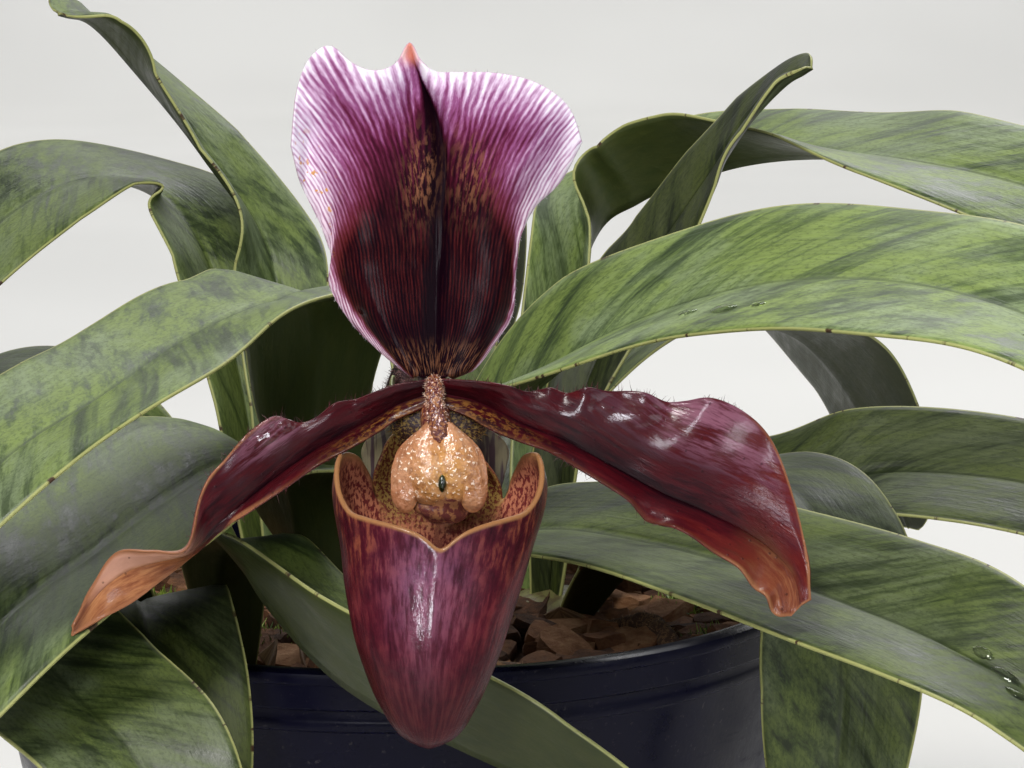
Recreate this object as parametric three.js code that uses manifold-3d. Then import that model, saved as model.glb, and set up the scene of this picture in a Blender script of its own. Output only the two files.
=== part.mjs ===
// Potted slipper orchid: one open bloom on a leaning stem, a tuft of arching strap
// leaves, and a dark plastic pot filled with bark. Millimetres, +Z up. The origin is
// on the table under the middle of the pot, and the bloom faces -Y.

import * as THREE from 'three';
import { mergeVertices } from 'three/addons/utils/BufferGeometryUtils.js';
import Module from 'manifold-3d';

const wasm = await Module();
wasm.setup();

// Driving dimensions

const GAP = 0.3; // clearance between two pieces that meet
const LEAF_THICKNESS = 1.2;
const PETAL_THICKNESS = 0.9;

const POT = {
  height: 120,
  rimRadius: 82, // outside of the rim band
  baseRadius: 58,
  wall: 1.8,
  floor: 2.4,
  bandHeight: 7,
  bandStep: 1.7, // how far the band stands out from the wall
  sides: 48,
};
const DRAIN = { count: 6, radius: 5, ring: 38, sides: 10 };

const BARK = {
  top: 105, // level of the mix at the pot wall
  crownRise: 2.5, // rise of the mix towards the middle
  sides: 32,
  chips: 38,
  chipLength: 15,
  chipWidth: 10,
  chipThickness: 6,
  seed: 11,
};

// Each crown is the short, swollen foot of one growth: [x, y, radius].
const CROWN_FOOT = 90;
const CROWN_TOP = 110;
const CROWNS = {
  front: [-2, -27, 14],
  left: [-36, -35, 12],
  right: [31, 15, 12],
  back: [-27, 35, 12],
  far: [13, 46, 11],
};
const RHIZOME_RADIUS = 5;
const RHIZOME_LEVEL = 97;
const ROOT_RADIUS = 2;
const ROOTS = [
  [[8, -34, 104], [20, -42, 109], [34, -48, 107], [44, -52, 96]],
  [[-10, -36, 104], [-16, -50, 110], [-18, -60, 107], [-17, -66, 96]],
  [[-44, -30, 103], [-56, -24, 109], [-63, -14, 106], [-65, -6, 94]],
  [[38, 6, 103], [48, -6, 109], [52, -20, 107], [50, -30, 95]],
  [[-34, 42, 103], [-44, 50, 109], [-54, 46, 107], [-60, 38, 95]],
  [[26, 8, 103], [16, 2, 109], [4, 6, 108], [-4, 12, 96]],
];

// Strap leaves: the width, the midrib's route from the crown to the tip, and along
// it the roll (degrees the blade leans sideways) and the fold (how far each half is
// raised to make the V).
const LEAF_ROWS = 12;
const LEAF_COLUMNS = 4;
const LEAVES = [
  {
    name: 'leaf_right_upper',
    width: 36,
    spine: [[5, -29, 102], [12, -34, 140], [30, -50, 167], [58, -75, 184], [84, -108, 190], [108, -131, 184],
      [134, -148, 166]],
    roll: [0, -10, -34, -32, -26, -16, -8],
    fold: [40, 48, 28, 12, 8, 8, 8],
  },
  {
    name: 'leaf_right_lower',
    width: 32,
    spine: [[8, -32, 102], [13, -36, 120], [19, -42, 133], [30, -53, 138], [44, -71, 140], [59, -98, 142],
      [74, -123, 142], [87, -141, 140], [100, -153, 134], [112, -163, 122]],
    roll: [0, -6, -12, -16, -16, -18, -20, -24, -20, -14],
    fold: [40, 34, 20, 12, 14, 12, 14, 18, 14, 10],
  },
  {
    name: 'leaf_left_upper',
    width: 34,
    spine: [[-9, -29, 102], [-14, -34, 144], [-13, -48, 177], [-20, -70, 181], [-32, -92, 178], [-42, -113, 173],
      [-55, -132, 166], [-67, -147, 152]],
    roll: [0, 0, 0, 0, -2, 0, 6, 6],
    fold: [40, 36, 14, 12, 10, 12, 10, 8],
  },
  {
    name: 'leaf_left_lower',
    width: 38,
    spine: [[-12, -32, 102], [-16, -36, 126], [-19, -44, 146], [-28, -61, 151], [-37, -81, 149], [-46, -103, 145],
      [-57, -130, 140], [-70, -149, 122]],
    roll: [0, 4, 8, 8, 8, 8, 16, 16],
    fold: [40, 36, 14, 14, 14, 16, 16, 10],
  },
  {
    name: 'leaf_front_left',
    width: 34,
    spine: [[-31, -34, 102], [-31, -44, 126], [-28, -58, 137], [-20, -75, 131], [-9, -89, 123], [2, -98, 118],
      [14, -104, 114], [26, -107, 109], [40, -110, 101], [54, -112, 90]],
    roll: [0, 10, 20, 28, 26, 24, 24, 24, 22, 20],
    fold: [40, 34, 20, 30, 42, 44, 42, 38, 34, 20],
  },
  {
    name: 'leaf_front_hang',
    width: 30,
    spine: [[-37, -42, 102], [-40, -54, 118], [-42, -68, 128], [-40, -85, 131], [-36, -100, 122], [-33, -110, 107],
      [-32, -115, 87]],
    roll: [0, 0, 0, 0, 0, 0, 0],
    fold: [40, 30, 16, 12, 10, 10, 8],
  },
  {
    name: 'leaf_front_low',
    width: 30,
    spine: [[-43, -34, 102], [-54, -46, 127], [-64, -72, 140], [-60, -102, 136], [-48, -121, 129], [-36, -133, 121],
      [-29, -142, 111], [-25, -148, 99]],
    roll: [0, 0, -4, -10, -18, -20, -16, -12],
    fold: [40, 36, 16, 8, 10, 14, 12, 10],
  },
  {
    name: 'leaf_right_hang',
    width: 30,
    spine: [[34, 9, 102], [44, -2, 118], [57, -13, 134], [70, -27, 141], [77, -42, 137], [80, -53, 125],
      [80, -59, 110], [79, -63, 92], [78, -65, 70]],
    roll: [0, 0, 0, 0, 0, 0, 4, 4, 4],
    fold: [40, 34, 20, 14, 12, 12, 10, 8, 6],
  },
  {
    name: 'leaf_right_mid',
    width: 34,
    spine: [[37, 16, 102], [47, 21, 117], [58, 20, 125], [71, 15, 130], [85, 8, 134], [99, 3, 137],
      [120, -7, 137], [136, -16, 133], [150, -26, 124]],
    roll: [0, 0, -8, -14, -26, -28, -28, -24, -20],
    fold: [40, 40, 32, 18, 20, 12, 6, 4, 4],
  },
  {
    name: 'leaf_right_back',
    width: 38,
    spine: [[26, 20, 102], [31, 46, 144], [39, 70, 174], [49, 72, 183], [62, 67, 189], [74, 59, 193],
      [88, 48, 195], [104, 31, 195], [122, 17, 192], [136, 6, 187], [150, -4, 176]],
    roll: [0, 4, 10, 6, 4, 0, -4, -16, -24, -24, -20],
    fold: [40, 50, 58, 50, 42, 30, 20, 14, 6, 4, 4],
  },
  {
    name: 'leaf_right_tall',
    width: 22,
    spine: [[29, 13, 102], [33, 19, 138], [44, 27, 166], [53, 29, 180], [62, 29, 193], [69, 27, 204],
      [76, 24, 212], [81, 21, 215]],
    roll: [0, -6, -20, -24, -24, -24, -20, -20],
    fold: [40, 30, 14, 12, 12, 12, 14, 14],
  },
  {
    name: 'leaf_right_low',
    width: 36,
    spine: [[20, 48, 102], [32, 60, 132], [56, 82, 152], [84, 102, 150], [104, 122, 128], [118, 136, 96]],
    roll: [0, 0, 0, 0, 0, 0],
    fold: [40, 34, 20, 12, 10, 8],
  },
  {
    name: 'leaf_back_tall',
    width: 26,
    spine: [[-25, 32, 102], [-26, 45, 142], [-30, 60, 172], [-44, 65, 194], [-57, 64, 211], [-66, 58, 222],
      [-72, 52, 224]],
    roll: [0, 0, 0, 6, 10, 10, 10],
    fold: [40, 34, 26, 20, 16, 12, 10],
  },
  {
    name: 'leaf_back_left',
    width: 34,
    spine: [[-29, 40, 102], [-35, 54, 140], [-44, 67, 170], [-55, 73, 184], [-68, 66, 188], [-80, 52, 184],
      [-93, 37, 172], [-106, 23, 150]],
    roll: [0, 0, 0, 6, 12, 16, 14, 10],
    fold: [40, 34, 24, 16, 12, 10, 8, 6],
  },
  {
    name: 'leaf_back_far',
    width: 34,
    spine: [[8, 51, 102], [7, 66, 142], [8, 92, 170], [8, 120, 176], [10, 146, 160], [14, 164, 134]],
    roll: [0, 0, 0, 0, 0, 0],
    fold: [40, 34, 20, 12, 10, 8],
  },
  {
    name: 'leaf_back_low',
    width: 36,
    spine: [[-32, 31, 102], [-52, 32, 127], [-80, 48, 146], [-106, 62, 140], [-126, 72, 118], [-138, 78, 88]],
    roll: [0, 0, 0, 0, 0, 0],
    fold: [40, 34, 20, 12, 10, 8],
  },
];

// The bloom has its own frame: x to the viewer's right, y away from the viewer and z
// up, with its zero where sepals, petals and pouch meet.
const BLOOM_CENTRE = [10, -130, 178];
const BLOOM_TILT = 10; // degrees that the bloom looks up

const DORSAL = {
  foot: 1.3, // height of its base
  sideTop: 36, // height at which the side margins turn into the top edge
  leftHalf: [[0, 3.2], [0.8, 4.5], [4, 8], [9, 12.2], [14.3, 15.2], [18.5, 15.4], [24, 17.3], [30, 20],
    [36, 21.4]],
  rightHalf: [[0, 3.2], [1, 6], [5.3, 9.3], [8.3, 11.3], [11.3, 12.2], [16.5, 12.4], [21.8, 13.2],
    [26.5, 15.4], [30, 19], [36, 22.4]],
  topEdge: [[-1, 36], [-0.97, 43], [-0.91, 47.4], [-0.8, 50.2], [-0.7, 50.6], [-0.58, 48.4], [-0.46, 47.2],
    [-0.34, 47.3], [-0.25, 48.6], [-0.165, 51.5], [-0.1, 49], [0, 47.2], [0.12, 47], [0.38, 46.8],
    [0.64, 45.6], [0.83, 43.4], [0.94, 40.6], [1, 36.5]],
  depth: [[0, 3], [0.25, 5.2], [0.5, 6], [0.75, 4.4], [1, 0.6]],
  cupping: [[0, 0.9], [0.2, 0], [0.55, -2], [0.8, -1.6], [1, 1.6]],
};

// A petal is drawn through three rails of [x, y, z] points: its upper margin, its
// midrib and its lower margin.
const PETAL_RIGHT = {
  upper: [[2.6, 1.6, 1], [8.5, 1.2, 0.3], [15, 2.2, -0.6], [22.5, 1.4, -0.6], [30, 2.4, -1], [37.5, 1.6, -1.9],
    [44.5, 1.8, -3.1], [50.3, 1.6, -7.5], [53.8, 1, -15.5], [56.2, 0, -25.5], [56.6, -1, -32.2]],
  midrib: [[2.5, 3, -0.9], [8, 3.6, -3.1], [14, 3.6, -6.2], [20.5, 3.4, -9], [27.5, 3.2, -12.9], [34.5, 3, -16.7],
    [41.5, 2.8, -19.6], [47, 2.4, -22.4], [51, 1.6, -25.2], [54, 0.6, -28.5], [55.2, -0.8, -33]],
  lower: [[2.4, 2, -2.6], [7.5, 0.6, -6.2], [13.2, -1, -8.7], [19, -2, -10.6], [25.5, -3, -14.8],
    [32, -3.6, -19.1], [38.5, -4, -23.2], [44, -3.6, -27], [48, -3, -30.4], [51, -2, -34], [53.6, -1.4, -34.6]],
};
const PETAL_LEFT = {
  upper: [[-2.6, 1.6, 0.9], [-7, 1.2, -0.3], [-12.2, 1.6, -2.4], [-18.5, 0.6, -4.8], [-24.5, -0.4, -5.5],
    [-30.3, -1.6, -9.8], [-34.6, -3, -16.2], [-36.6, -4.4, -24.2], [-42, -2.2, -24.9], [-47.6, 0, -25.4],
    [-51.4, 1, -30.3], [-54.2, 0.4, -36.2]],
  midrib: [[-2.5, 3, -1], [-7, 3.5, -4], [-12.5, 3.2, -7], [-18, 2.6, -10.2], [-24, 1.8, -14.4],
    [-29, 0.8, -18.4], [-32.8, 0, -21.4], [-36.6, -0.4, -24.9], [-42, 0, -26.4], [-46.3, 0.8, -28.2],
    [-50.2, 1.2, -31.4], [-54.2, 0.6, -37]],
  lower: [[-2.4, 2, -2.6], [-7.5, 0.4, -6.6], [-12.8, -1, -9.8], [-18, -1.8, -12.4], [-23.3, -1.6, -16.2],
    [-28.4, -0.4, -19.8], [-32.2, 1.8, -22.2], [-36.2, 3.6, -25.6], [-40.2, 2.8, -29], [-45, 1, -32.8],
    [-50, 0.2, -35.4], [-54.3, 0.2, -37.8]],
};

const SYNSEPAL = {
  top: -5,
  bottom: -37,
  half: [[0, 4], [0.1, 9.6], [0.16, 11.7], [0.26, 10.9], [0.4, 9.2], [0.65, 7], [0.88, 4], [1, 0.8]],
  depth: [[0, 9], [0.1, 13], [0.3, 14.7], [0.6, 14.4], [1, 12.5]],
  cupping: -1.2,
};

const POUCH = {
  tip: -53,
  half: [[-53, 0], [-51.8, 2.9], [-50, 4.8], [-48, 6.1], [-45, 7.8], [-40, 9.8], [-35.7, 11.2], [-30, 12.7],
    [-25.4, 13.8], [-20, 15], [-15.3, 15.7], [-8, 15.6], [-4, 15]],
  depthShare: 0.86, // front-to-back radius over the half width
  centre: [[-53, -6.8], [-45, -6.2], [-30, -4.5], [-15, -2.6], [-4, -2]],
  shift: [[-53, -0.3], [-36, -0.2], [-25, 0.4], [-15, 1.1], [-4, 0.6]], // sideways
  rim: [[0, -23.6], [10, -22.4], [26, -20.4], [46, -19.2], [62, -18], [76, -15.8], [88, -12.8], [98, -11.2],
    [110, -11], [122, -12.8], [135, -16.2], [146, -17.4], [152, -12], [158, -8.4], [167, -6.6], [180, -6]],
  clawRadius: 7.4, // the trough that joins the back of the mouth to the bloom's middle
  clawCentre: 2.2,
  wall: 1,
  around: 26,
  rings: 9,
};

const COLUMN = {
  centre: 1, // the shield's middle, to the right of zero
  route: [[0, 3.4, -2], [0.2, 0.4, -1.8], [0.5, -1.8, -4.5], [0.9, -2.2, -9], [1, -2, -15]],
  radius: 2,
  knobRadius: 1.8,
  stigmaRadius: 3.2,
  shieldTop: -6.6,
  shieldHeight: 11.8,
  shieldHalf: [[0, 1.7], [0.12, 3.7], [0.3, 5.9], [0.5, 6.8], [0.7, 7.1], [0.88, 7], [1, 6.4]],
  shieldFoot: [[0, 0.98], [0.4, 0.99], [0.55, 1.02], [0.75, 1.08], [0.9, 1.04], [1, 0.9]],
  shieldThickness: 1.4,
};

const OVARY = {
  route: [[0, 4.4, -1], [-0.5, 14, 0.4], [-2, 26, 0.8], [-3.5, 38, -0.8]], // in the bloom's frame
  radius: 3,
  ribs: 6,
  ribHeight: 0.35,
};
const STEM = {
  route: [[-2, -23, 102], [-2, -21, 134], [0, -34, 156], [4, -64, 169.5], [6.5, -91.9, 170.6]],
  radius: 2.1,
};
const BRACT = { length: 26, radius: 3.2, flare: 2.6, wrap: 115, thickness: 0.8 };

// Small helpers

function vector([x, y, z]) {
  return new THREE.Vector3(x, y, z);
}

function hermite(a, b, slopeA, slopeB, w) {
  return (2 * a - 2 * b + slopeA + slopeB) * w ** 3 + (-3 * a + 3 * b - 2 * slopeA - slopeB) * w ** 2
    + slopeA * w + a;
}

// A smooth curve through evenly spaced values, for t from 0 to 1.
function along(values, t) {
  const last = values.length - 1;
  const place = THREE.MathUtils.clamp(t, 0, 1) * last;
  const i = Math.min(Math.floor(place), last - 1);
  const before = i > 0 ? values[i - 1] : 2 * values[0] - values[1];
  const after = i < last - 1 ? values[i + 2] : 2 * values[last] - values[last - 1];
  return hermite(values[i], values[i + 1], (values[i + 1] - before) / 2, (after - values[i]) / 2, place - i);
}

// A smooth curve through [x, value] knots.
function profile(knots, x) {
  const last = knots.length - 1;
  const at = THREE.MathUtils.clamp(x, knots[0][0], knots[last][0]);
  let i = 0;
  while (i < last - 1 && at > knots[i + 1][0]) i += 1;
  const slope = (k) => {
    const a = knots[Math.max(k - 1, 0)];
    const b = knots[Math.min(k + 1, last)];
    return (b[1] - a[1]) / (b[0] - a[0]);
  };
  const width = knots[i + 1][0] - knots[i][0];
  return hermite(knots[i][1], knots[i + 1][1], slope(i) * width, slope(i + 1) * width, (at - knots[i][0]) / width);
}

function curveThrough(points) {
  return new THREE.CatmullRomCurve3(points.map(vector), false, 'catmullrom', 0.5);
}

function geometryFrom(points, triangles) {
  const geometry = new THREE.BufferGeometry();
  geometry.setAttribute('position', new THREE.Float32BufferAttribute(points.flatMap((p) => p.toArray()), 3));
  geometry.setIndex(triangles);
  return geometry;
}

function solidFrom(geometry) {
  const bare = geometry.clone();
  bare.deleteAttribute('normal');
  bare.deleteAttribute('uv');
  const merged = mergeVertices(bare, 1e-4);
  return new wasm.Manifold(new wasm.Mesh({
    numProp: 3,
    vertProperties: new Float32Array(merged.attributes.position.array),
    triVerts: new Uint32Array(merged.index.array),
  }));
}

function geometryOf(solid) {
  const mesh = solid.getMesh();
  const geometry = new THREE.BufferGeometry();
  geometry.setAttribute('position', new THREE.Float32BufferAttribute(mesh.vertProperties, 3));
  geometry.setIndex(Array.from(mesh.triVerts));
  return geometry;
}

function colour(hex, roughness, metalness = 0) {
  return new THREE.MeshStandardMaterial({ color: hex, roughness, metalness });
}

function addPiece(parent, name, geometry, material) {
  const mesh = new THREE.Mesh(geometry, material);
  mesh.name = name;
  parent.add(mesh);
}

// The surface's unit normal, from its neighbours on either side.
function normalAt(surface, u, v) {
  const step = 0.004;
  const du = surface(Math.min(u + step, 1), v).sub(surface(Math.max(u - step, 0), v));
  const dv = surface(u, Math.min(v + step, 1)).sub(surface(u, Math.max(v - step, -1)));
  return du.cross(dv).normalize();
}

// A closed blade of even thickness on surface(u, v), with u from 0 to 1 along it and v
// from -1 to 1 across it. Both faces are split into triangles alike.
function blade(surface, rows, columns, thickness) {
  const points = [];
  for (const side of [0.5, -0.5]) {
    for (let i = 0; i <= rows; i += 1) {
      for (let j = 0; j <= columns; j += 1) {
        const u = i / rows;
        const v = -1 + (2 * j) / columns;
        points.push(surface(u, v).addScaledVector(normalAt(surface, u, v), side * thickness));
      }
    }
  }
  const far = (rows + 1) * (columns + 1);
  const at = (i, j) => i * (columns + 1) + j;
  const triangles = [];
  const quad = (a, b, c, d) => triangles.push(a, b, c, a, c, d);
  for (let i = 0; i < rows; i += 1) {
    for (let j = 0; j < columns; j += 1) {
      const corners = [at(i, j), at(i + 1, j), at(i + 1, j + 1), at(i, j + 1)];
      quad(...corners);
      const [a, b, c, d] = corners.map((k) => k + far);
      triangles.push(a, c, b, a, d, c);
    }
  }
  for (let i = 0; i < rows; i += 1) {
    quad(at(i, 0), at(i, 0) + far, at(i + 1, 0) + far, at(i + 1, 0));
    quad(at(i + 1, columns), at(i + 1, columns) + far, at(i, columns) + far, at(i, columns));
  }
  for (let j = 0; j < columns; j += 1) {
    quad(at(0, j + 1), at(0, j + 1) + far, at(0, j) + far, at(0, j));
    quad(at(rows, j), at(rows, j) + far, at(rows, j + 1) + far, at(rows, j + 1));
  }
  return geometryFrom(points, triangles);
}

// A round tube along a route. grow widens it and lengthens both ends, for cutting.
function tube(route, radius, sides, steps, grow = 0) {
  const points = route.map(vector);
  const last = points.length - 1;
  points[0].addScaledVector(points[1].clone().sub(points[0]).normalize(), -grow);
  points[last].addScaledVector(points[last - 1].clone().sub(points[last]).normalize(), -grow);
  const path = new THREE.CatmullRomCurve3(points, false, 'catmullrom', 0.5);
  const ring = new THREE.Shape();
  for (let k = 0; k < sides; k += 1) {
    const angle = (2 * Math.PI * k) / sides;
    const x = (radius + grow) * Math.cos(angle);
    const y = (radius + grow) * Math.sin(angle);
    if (k === 0) ring.moveTo(x, y);
    else ring.lineTo(x, y);
  }
  return new THREE.ExtrudeGeometry(ring, { steps, bevelEnabled: false, extrudePath: path });
}

// A lathe turned from X-up to Z-up: profile points are [radius, height].
function lathe(points, sides) {
  const geometry = new THREE.LatheGeometry(points.map(([r, z]) => new THREE.Vector2(r, z)), sides);
  geometry.rotateX(Math.PI / 2);
  return geometry;
}

// Pot and bark

function potSolid() {
  const wallTop = POT.height - POT.bandHeight;
  const wallRadius = POT.rimRadius - POT.bandStep;
  const inner = wallRadius - POT.wall;
  const body = solidFrom(lathe([
    [0, 0],
    [POT.baseRadius - 1.5, 0],
    [POT.baseRadius, 1.5],
    [wallRadius - 0.4, wallTop],
    [POT.rimRadius, wallTop + 0.4],
    [POT.rimRadius, POT.height - 1],
    [POT.rimRadius - 1, POT.height],
    [inner + 0.6, POT.height],
    [inner, POT.height - 0.8],
    [inner, wallTop - 2],
    [POT.baseRadius - POT.wall, POT.floor],
    [0, POT.floor],
  ], POT.sides));
  let pot = body;
  for (let k = 0; k < DRAIN.count; k += 1) {
    const angle = (2 * Math.PI * k) / DRAIN.count;
    const hole = new THREE.CylinderGeometry(DRAIN.radius, DRAIN.radius, 4 * POT.floor, DRAIN.sides);
    hole.rotateX(Math.PI / 2);
    hole.translate(DRAIN.ring * Math.cos(angle), DRAIN.ring * Math.sin(angle), POT.floor / 2);
    pot = pot.subtract(solidFrom(hole));
  }
  return pot;
}

// The inside radius of the pot's wall at a height.
function potInside(z) {
  const low = [POT.floor, POT.baseRadius - POT.wall];
  const high = [POT.height - POT.bandHeight - 2, POT.rimRadius - POT.bandStep - POT.wall];
  return low[1] + ((z - low[0]) / (high[0] - low[0])) * (high[1] - low[1]);
}

function seededRandom(seed) {
  let state = seed;
  return () => {
    state = (state * 1664525 + 1013904223) % 4294967296;
    return state / 4294967296;
  };
}

function nearCrown([px, py]) {
  return Object.values(CROWNS).some(([x, y, radius]) => Math.hypot(px - x, py - y) < radius + 0.6 * BARK.chipLength);
}

// Cutting may leave loose crumbs, which are dropped.
function largestBody(solid) {
  return solid.decompose().sort((a, b) => b.volume() - a.volume())[0];
}

function barkSolid(hollow) {
  const clear = 2 * GAP;
  const foot = POT.floor + GAP;
  let bark = solidFrom(lathe([
    [0, foot],
    [potInside(foot) - clear, foot],
    [potInside(BARK.top) - clear, BARK.top],
    [potInside(BARK.top) * 0.5, BARK.top + 0.7 * BARK.crownRise],
    [0, BARK.top + BARK.crownRise],
  ], BARK.sides));
  const random = seededRandom(BARK.seed);
  for (let k = 0; k < BARK.chips; k += 1) {
    const reach = (potInside(BARK.top) - BARK.chipLength) * Math.sqrt((k + 0.5) / BARK.chips);
    const angle = k * Math.PI * (3 - Math.sqrt(5));
    const place = [reach * Math.cos(angle), reach * Math.sin(angle)];
    const size = 0.75 + 0.5 * random();
    if (nearCrown(place)) continue;
    const chip = new THREE.BoxGeometry(BARK.chipLength * size, BARK.chipWidth * size, BARK.chipThickness);
    chip.rotateX((random() - 0.5) * 0.7);
    chip.rotateY((random() - 0.5) * 0.7);
    chip.rotateZ(random() * Math.PI);
    const level = BARK.top + BARK.crownRise * (1 - reach / potInside(BARK.top));
    chip.translate(...place, level - 0.6);
    bark = bark.add(solidFrom(chip));
  }
  return largestBody(bark.subtract(hollow));
}

// Crowns, rhizome and roots. grow is the clearance that the bark and leaves are cut by.
function crownSolid([x, y, radius], grow = 0) {
  const height = CROWN_TOP - CROWN_FOOT;
  const geometry = lathe([
    [0, CROWN_FOOT - grow],
    [0.7 * radius + grow, CROWN_FOOT - grow],
    [0.95 * radius + grow, CROWN_FOOT + 0.3 * height],
    [radius + grow, CROWN_FOOT + 0.55 * height],
    [0.95 * radius + grow, CROWN_FOOT + 0.84 * height],
    [0.6 * radius + grow, CROWN_TOP + grow],
    [0, CROWN_TOP + 1 + grow],
  ], 12);
  geometry.translate(x, y, 0);
  return solidFrom(geometry);
}

function rhizomeSolid(grow = 0) {
  const ends = [['left', 'front'], ['front', 'right'], ['right', 'far'], ['far', 'back']];
  let solid = null;
  for (const crown of Object.values(CROWNS)) {
    const piece = crownSolid(crown, grow);
    solid = solid ? solid.add(piece) : piece;
  }
  for (const [from, to] of ends) {
    const [ax, ay] = CROWNS[from];
    const [bx, by] = CROWNS[to];
    const middle = [(ax + bx) / 2, (ay + by) / 2, RHIZOME_LEVEL + 1];
    const route = [[ax, ay, RHIZOME_LEVEL], middle, [bx, by, RHIZOME_LEVEL]];
    solid = solid.add(solidFrom(tube(route, RHIZOME_RADIUS, 8, 3, grow)));
  }
  for (const route of ROOTS) {
    solid = solid.add(solidFrom(tube(route, ROOT_RADIUS, 6, 6, grow)));
  }
  return solid;
}

// Leaves

// Half width over the full half width, from the clasping foot to the blunt tip.
function leafTaper(t) {
  const foot = 0.3 + 0.7 * Math.min(t / 0.35, 1) ** 0.8;
  const past = THREE.MathUtils.clamp((t - 0.62) / 0.385, 0, 1);
  return foot * Math.max(Math.sqrt(Math.max(1 - past ** 2.3, 0)), 0.05);
}

function leafSurface({ width, spine, roll, fold }) {
  const path = curveThrough(spine);
  const up = new THREE.Vector3(0, 0, 1);
  return (t, v) => {
    const tangent = path.getPoint(Math.min(t + 0.001, 1)).sub(path.getPoint(Math.max(t - 0.001, 0))).normalize();
    const side = tangent.clone().cross(up).normalize();
    const lift = side.clone().cross(tangent);
    const lean = THREE.MathUtils.degToRad(along(roll, t));
    const bend = THREE.MathUtils.degToRad(along(fold, t));
    const half = (width / 2) * leafTaper(t);
    const across = v * half * Math.cos(bend);
    const raised = Math.abs(v) * half * Math.sin(bend);
    return path.getPoint(t)
      .addScaledVector(side, across * Math.cos(lean) - raised * Math.sin(lean))
      .addScaledVector(lift, across * Math.sin(lean) + raised * Math.cos(lean));
  };
}

// The bloom's parts

function dorsalSurface(u, v) {
  const half = profile(v < 0 ? DORSAL.leftHalf : DORSAL.rightHalf, u * DORSAL.sideTop);
  const z = DORSAL.foot + u * (profile(DORSAL.topEdge, v) - DORSAL.foot);
  const y = profile(DORSAL.depth, u) + (0.35 + 0.65 * u) * profile(DORSAL.cupping, Math.abs(v));
  return new THREE.Vector3(v * half, y, z);
}

function petalSurface({ upper, midrib, lower }) {
  const rails = [lower, midrib, upper].map(curveThrough);
  return (u, v) => {
    const [low, middle, high] = rails.map((rail) => rail.getPoint(u));
    const edge = v < 0 ? low : high;
    const share = Math.abs(v) ** 1.15;
    return middle.lerp(edge, share);
  };
}

function synsepalSurface(u, v) {
  const z = SYNSEPAL.top + u * (SYNSEPAL.bottom - SYNSEPAL.top);
  const y = profile(SYNSEPAL.depth, u) + SYNSEPAL.cupping * v * v;
  return new THREE.Vector3(v * profile(SYNSEPAL.half, u), y, z);
}

// The pouch's wall at an angle from the front (degrees, positive to the right) and a
// height. Above the mouth its back part narrows into the claw.
function pouchPoint(angle, z) {
  const turned = Math.abs(angle);
  const claw = THREE.MathUtils.smoothstep(z, -20, -9) * THREE.MathUtils.smoothstep(turned, 138, 150);
  const sweep = THREE.MathUtils.degToRad(180 - (180 - turned) * (1 + 1.9 * claw)) * Math.sign(angle || 1);
  const half = THREE.MathUtils.lerp(profile(POUCH.half, z), POUCH.clawRadius, claw);
  const deep = THREE.MathUtils.lerp(profile(POUCH.half, z) * POUCH.depthShare, POUCH.clawRadius, claw);
  const middle = THREE.MathUtils.lerp(profile(POUCH.centre, z), POUCH.clawCentre, claw);
  return new THREE.Vector3(profile(POUCH.shift, z) + half * Math.sin(sweep), middle - deep * Math.cos(sweep), z);
}

function pouchSurface(angle, s) {
  const top = profile(POUCH.rim, Math.abs(angle));
  return pouchPoint(angle, top + (POUCH.tip - top) * s ** 0.9);
}

function pouchGeometry() {
  const { around, rings, wall } = POUCH;
  const outer = [];
  const inner = [];
  for (let i = 0; i < rings; i += 1) {
    for (let k = 0; k < around; k += 1) {
      const angle = -180 + (360 * k) / around;
      const s = i / rings;
      const point = pouchSurface(angle, s);
      const next = pouchSurface(angle + (angle < 179 ? 1 : -359), s);
      const last = pouchSurface(angle - (angle > -179 ? 1 : -359), s);
      const below = pouchSurface(angle, Math.min(s + 0.01, 0.99));
      const inward = next.sub(last).cross(below.sub(pouchSurface(angle, Math.max(s - 0.01, 0)))).normalize();
      outer.push(point);
      inner.push(point.clone().addScaledVector(inward, wall));
    }
  }
  const tip = pouchSurface(0, 1);
  const points = [...outer, ...inner, tip, tip.clone().add(new THREE.Vector3(0, 0, 1.3 * wall))];
  const shell = rings * around;
  const outerTip = 2 * shell;
  const innerTip = outerTip + 1;
  const at = (i, k) => i * around + (k % around);
  const triangles = [];
  for (let k = 0; k < around; k += 1) {
    for (let i = 0; i < rings - 1; i += 1) {
      const [a, b, c, d] = [at(i, k), at(i + 1, k), at(i + 1, k + 1), at(i, k + 1)];
      triangles.push(a, b, c, a, c, d);
      triangles.push(a + shell, c + shell, b + shell, a + shell, d + shell, c + shell);
    }
    const low = at(rings - 1, k);
    const lowNext = at(rings - 1, k + 1);
    triangles.push(low, outerTip, lowNext);
    triangles.push(low + shell, lowNext + shell, innerTip);
    const rim = at(0, k);
    const rimNext = at(0, k + 1);
    triangles.push(rim, rimNext, rimNext + shell, rim, rimNext + shell, rim + shell);
  }
  return geometryFrom(points, triangles);
}

function ball(radius, [x, y, z], [sx, sy, sz] = [1, 1, 1]) {
  const geometry = new THREE.SphereGeometry(radius, 8, 6);
  geometry.scale(sx, sy, sz);
  geometry.translate(x, y, z);
  return solidFrom(geometry);
}

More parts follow.
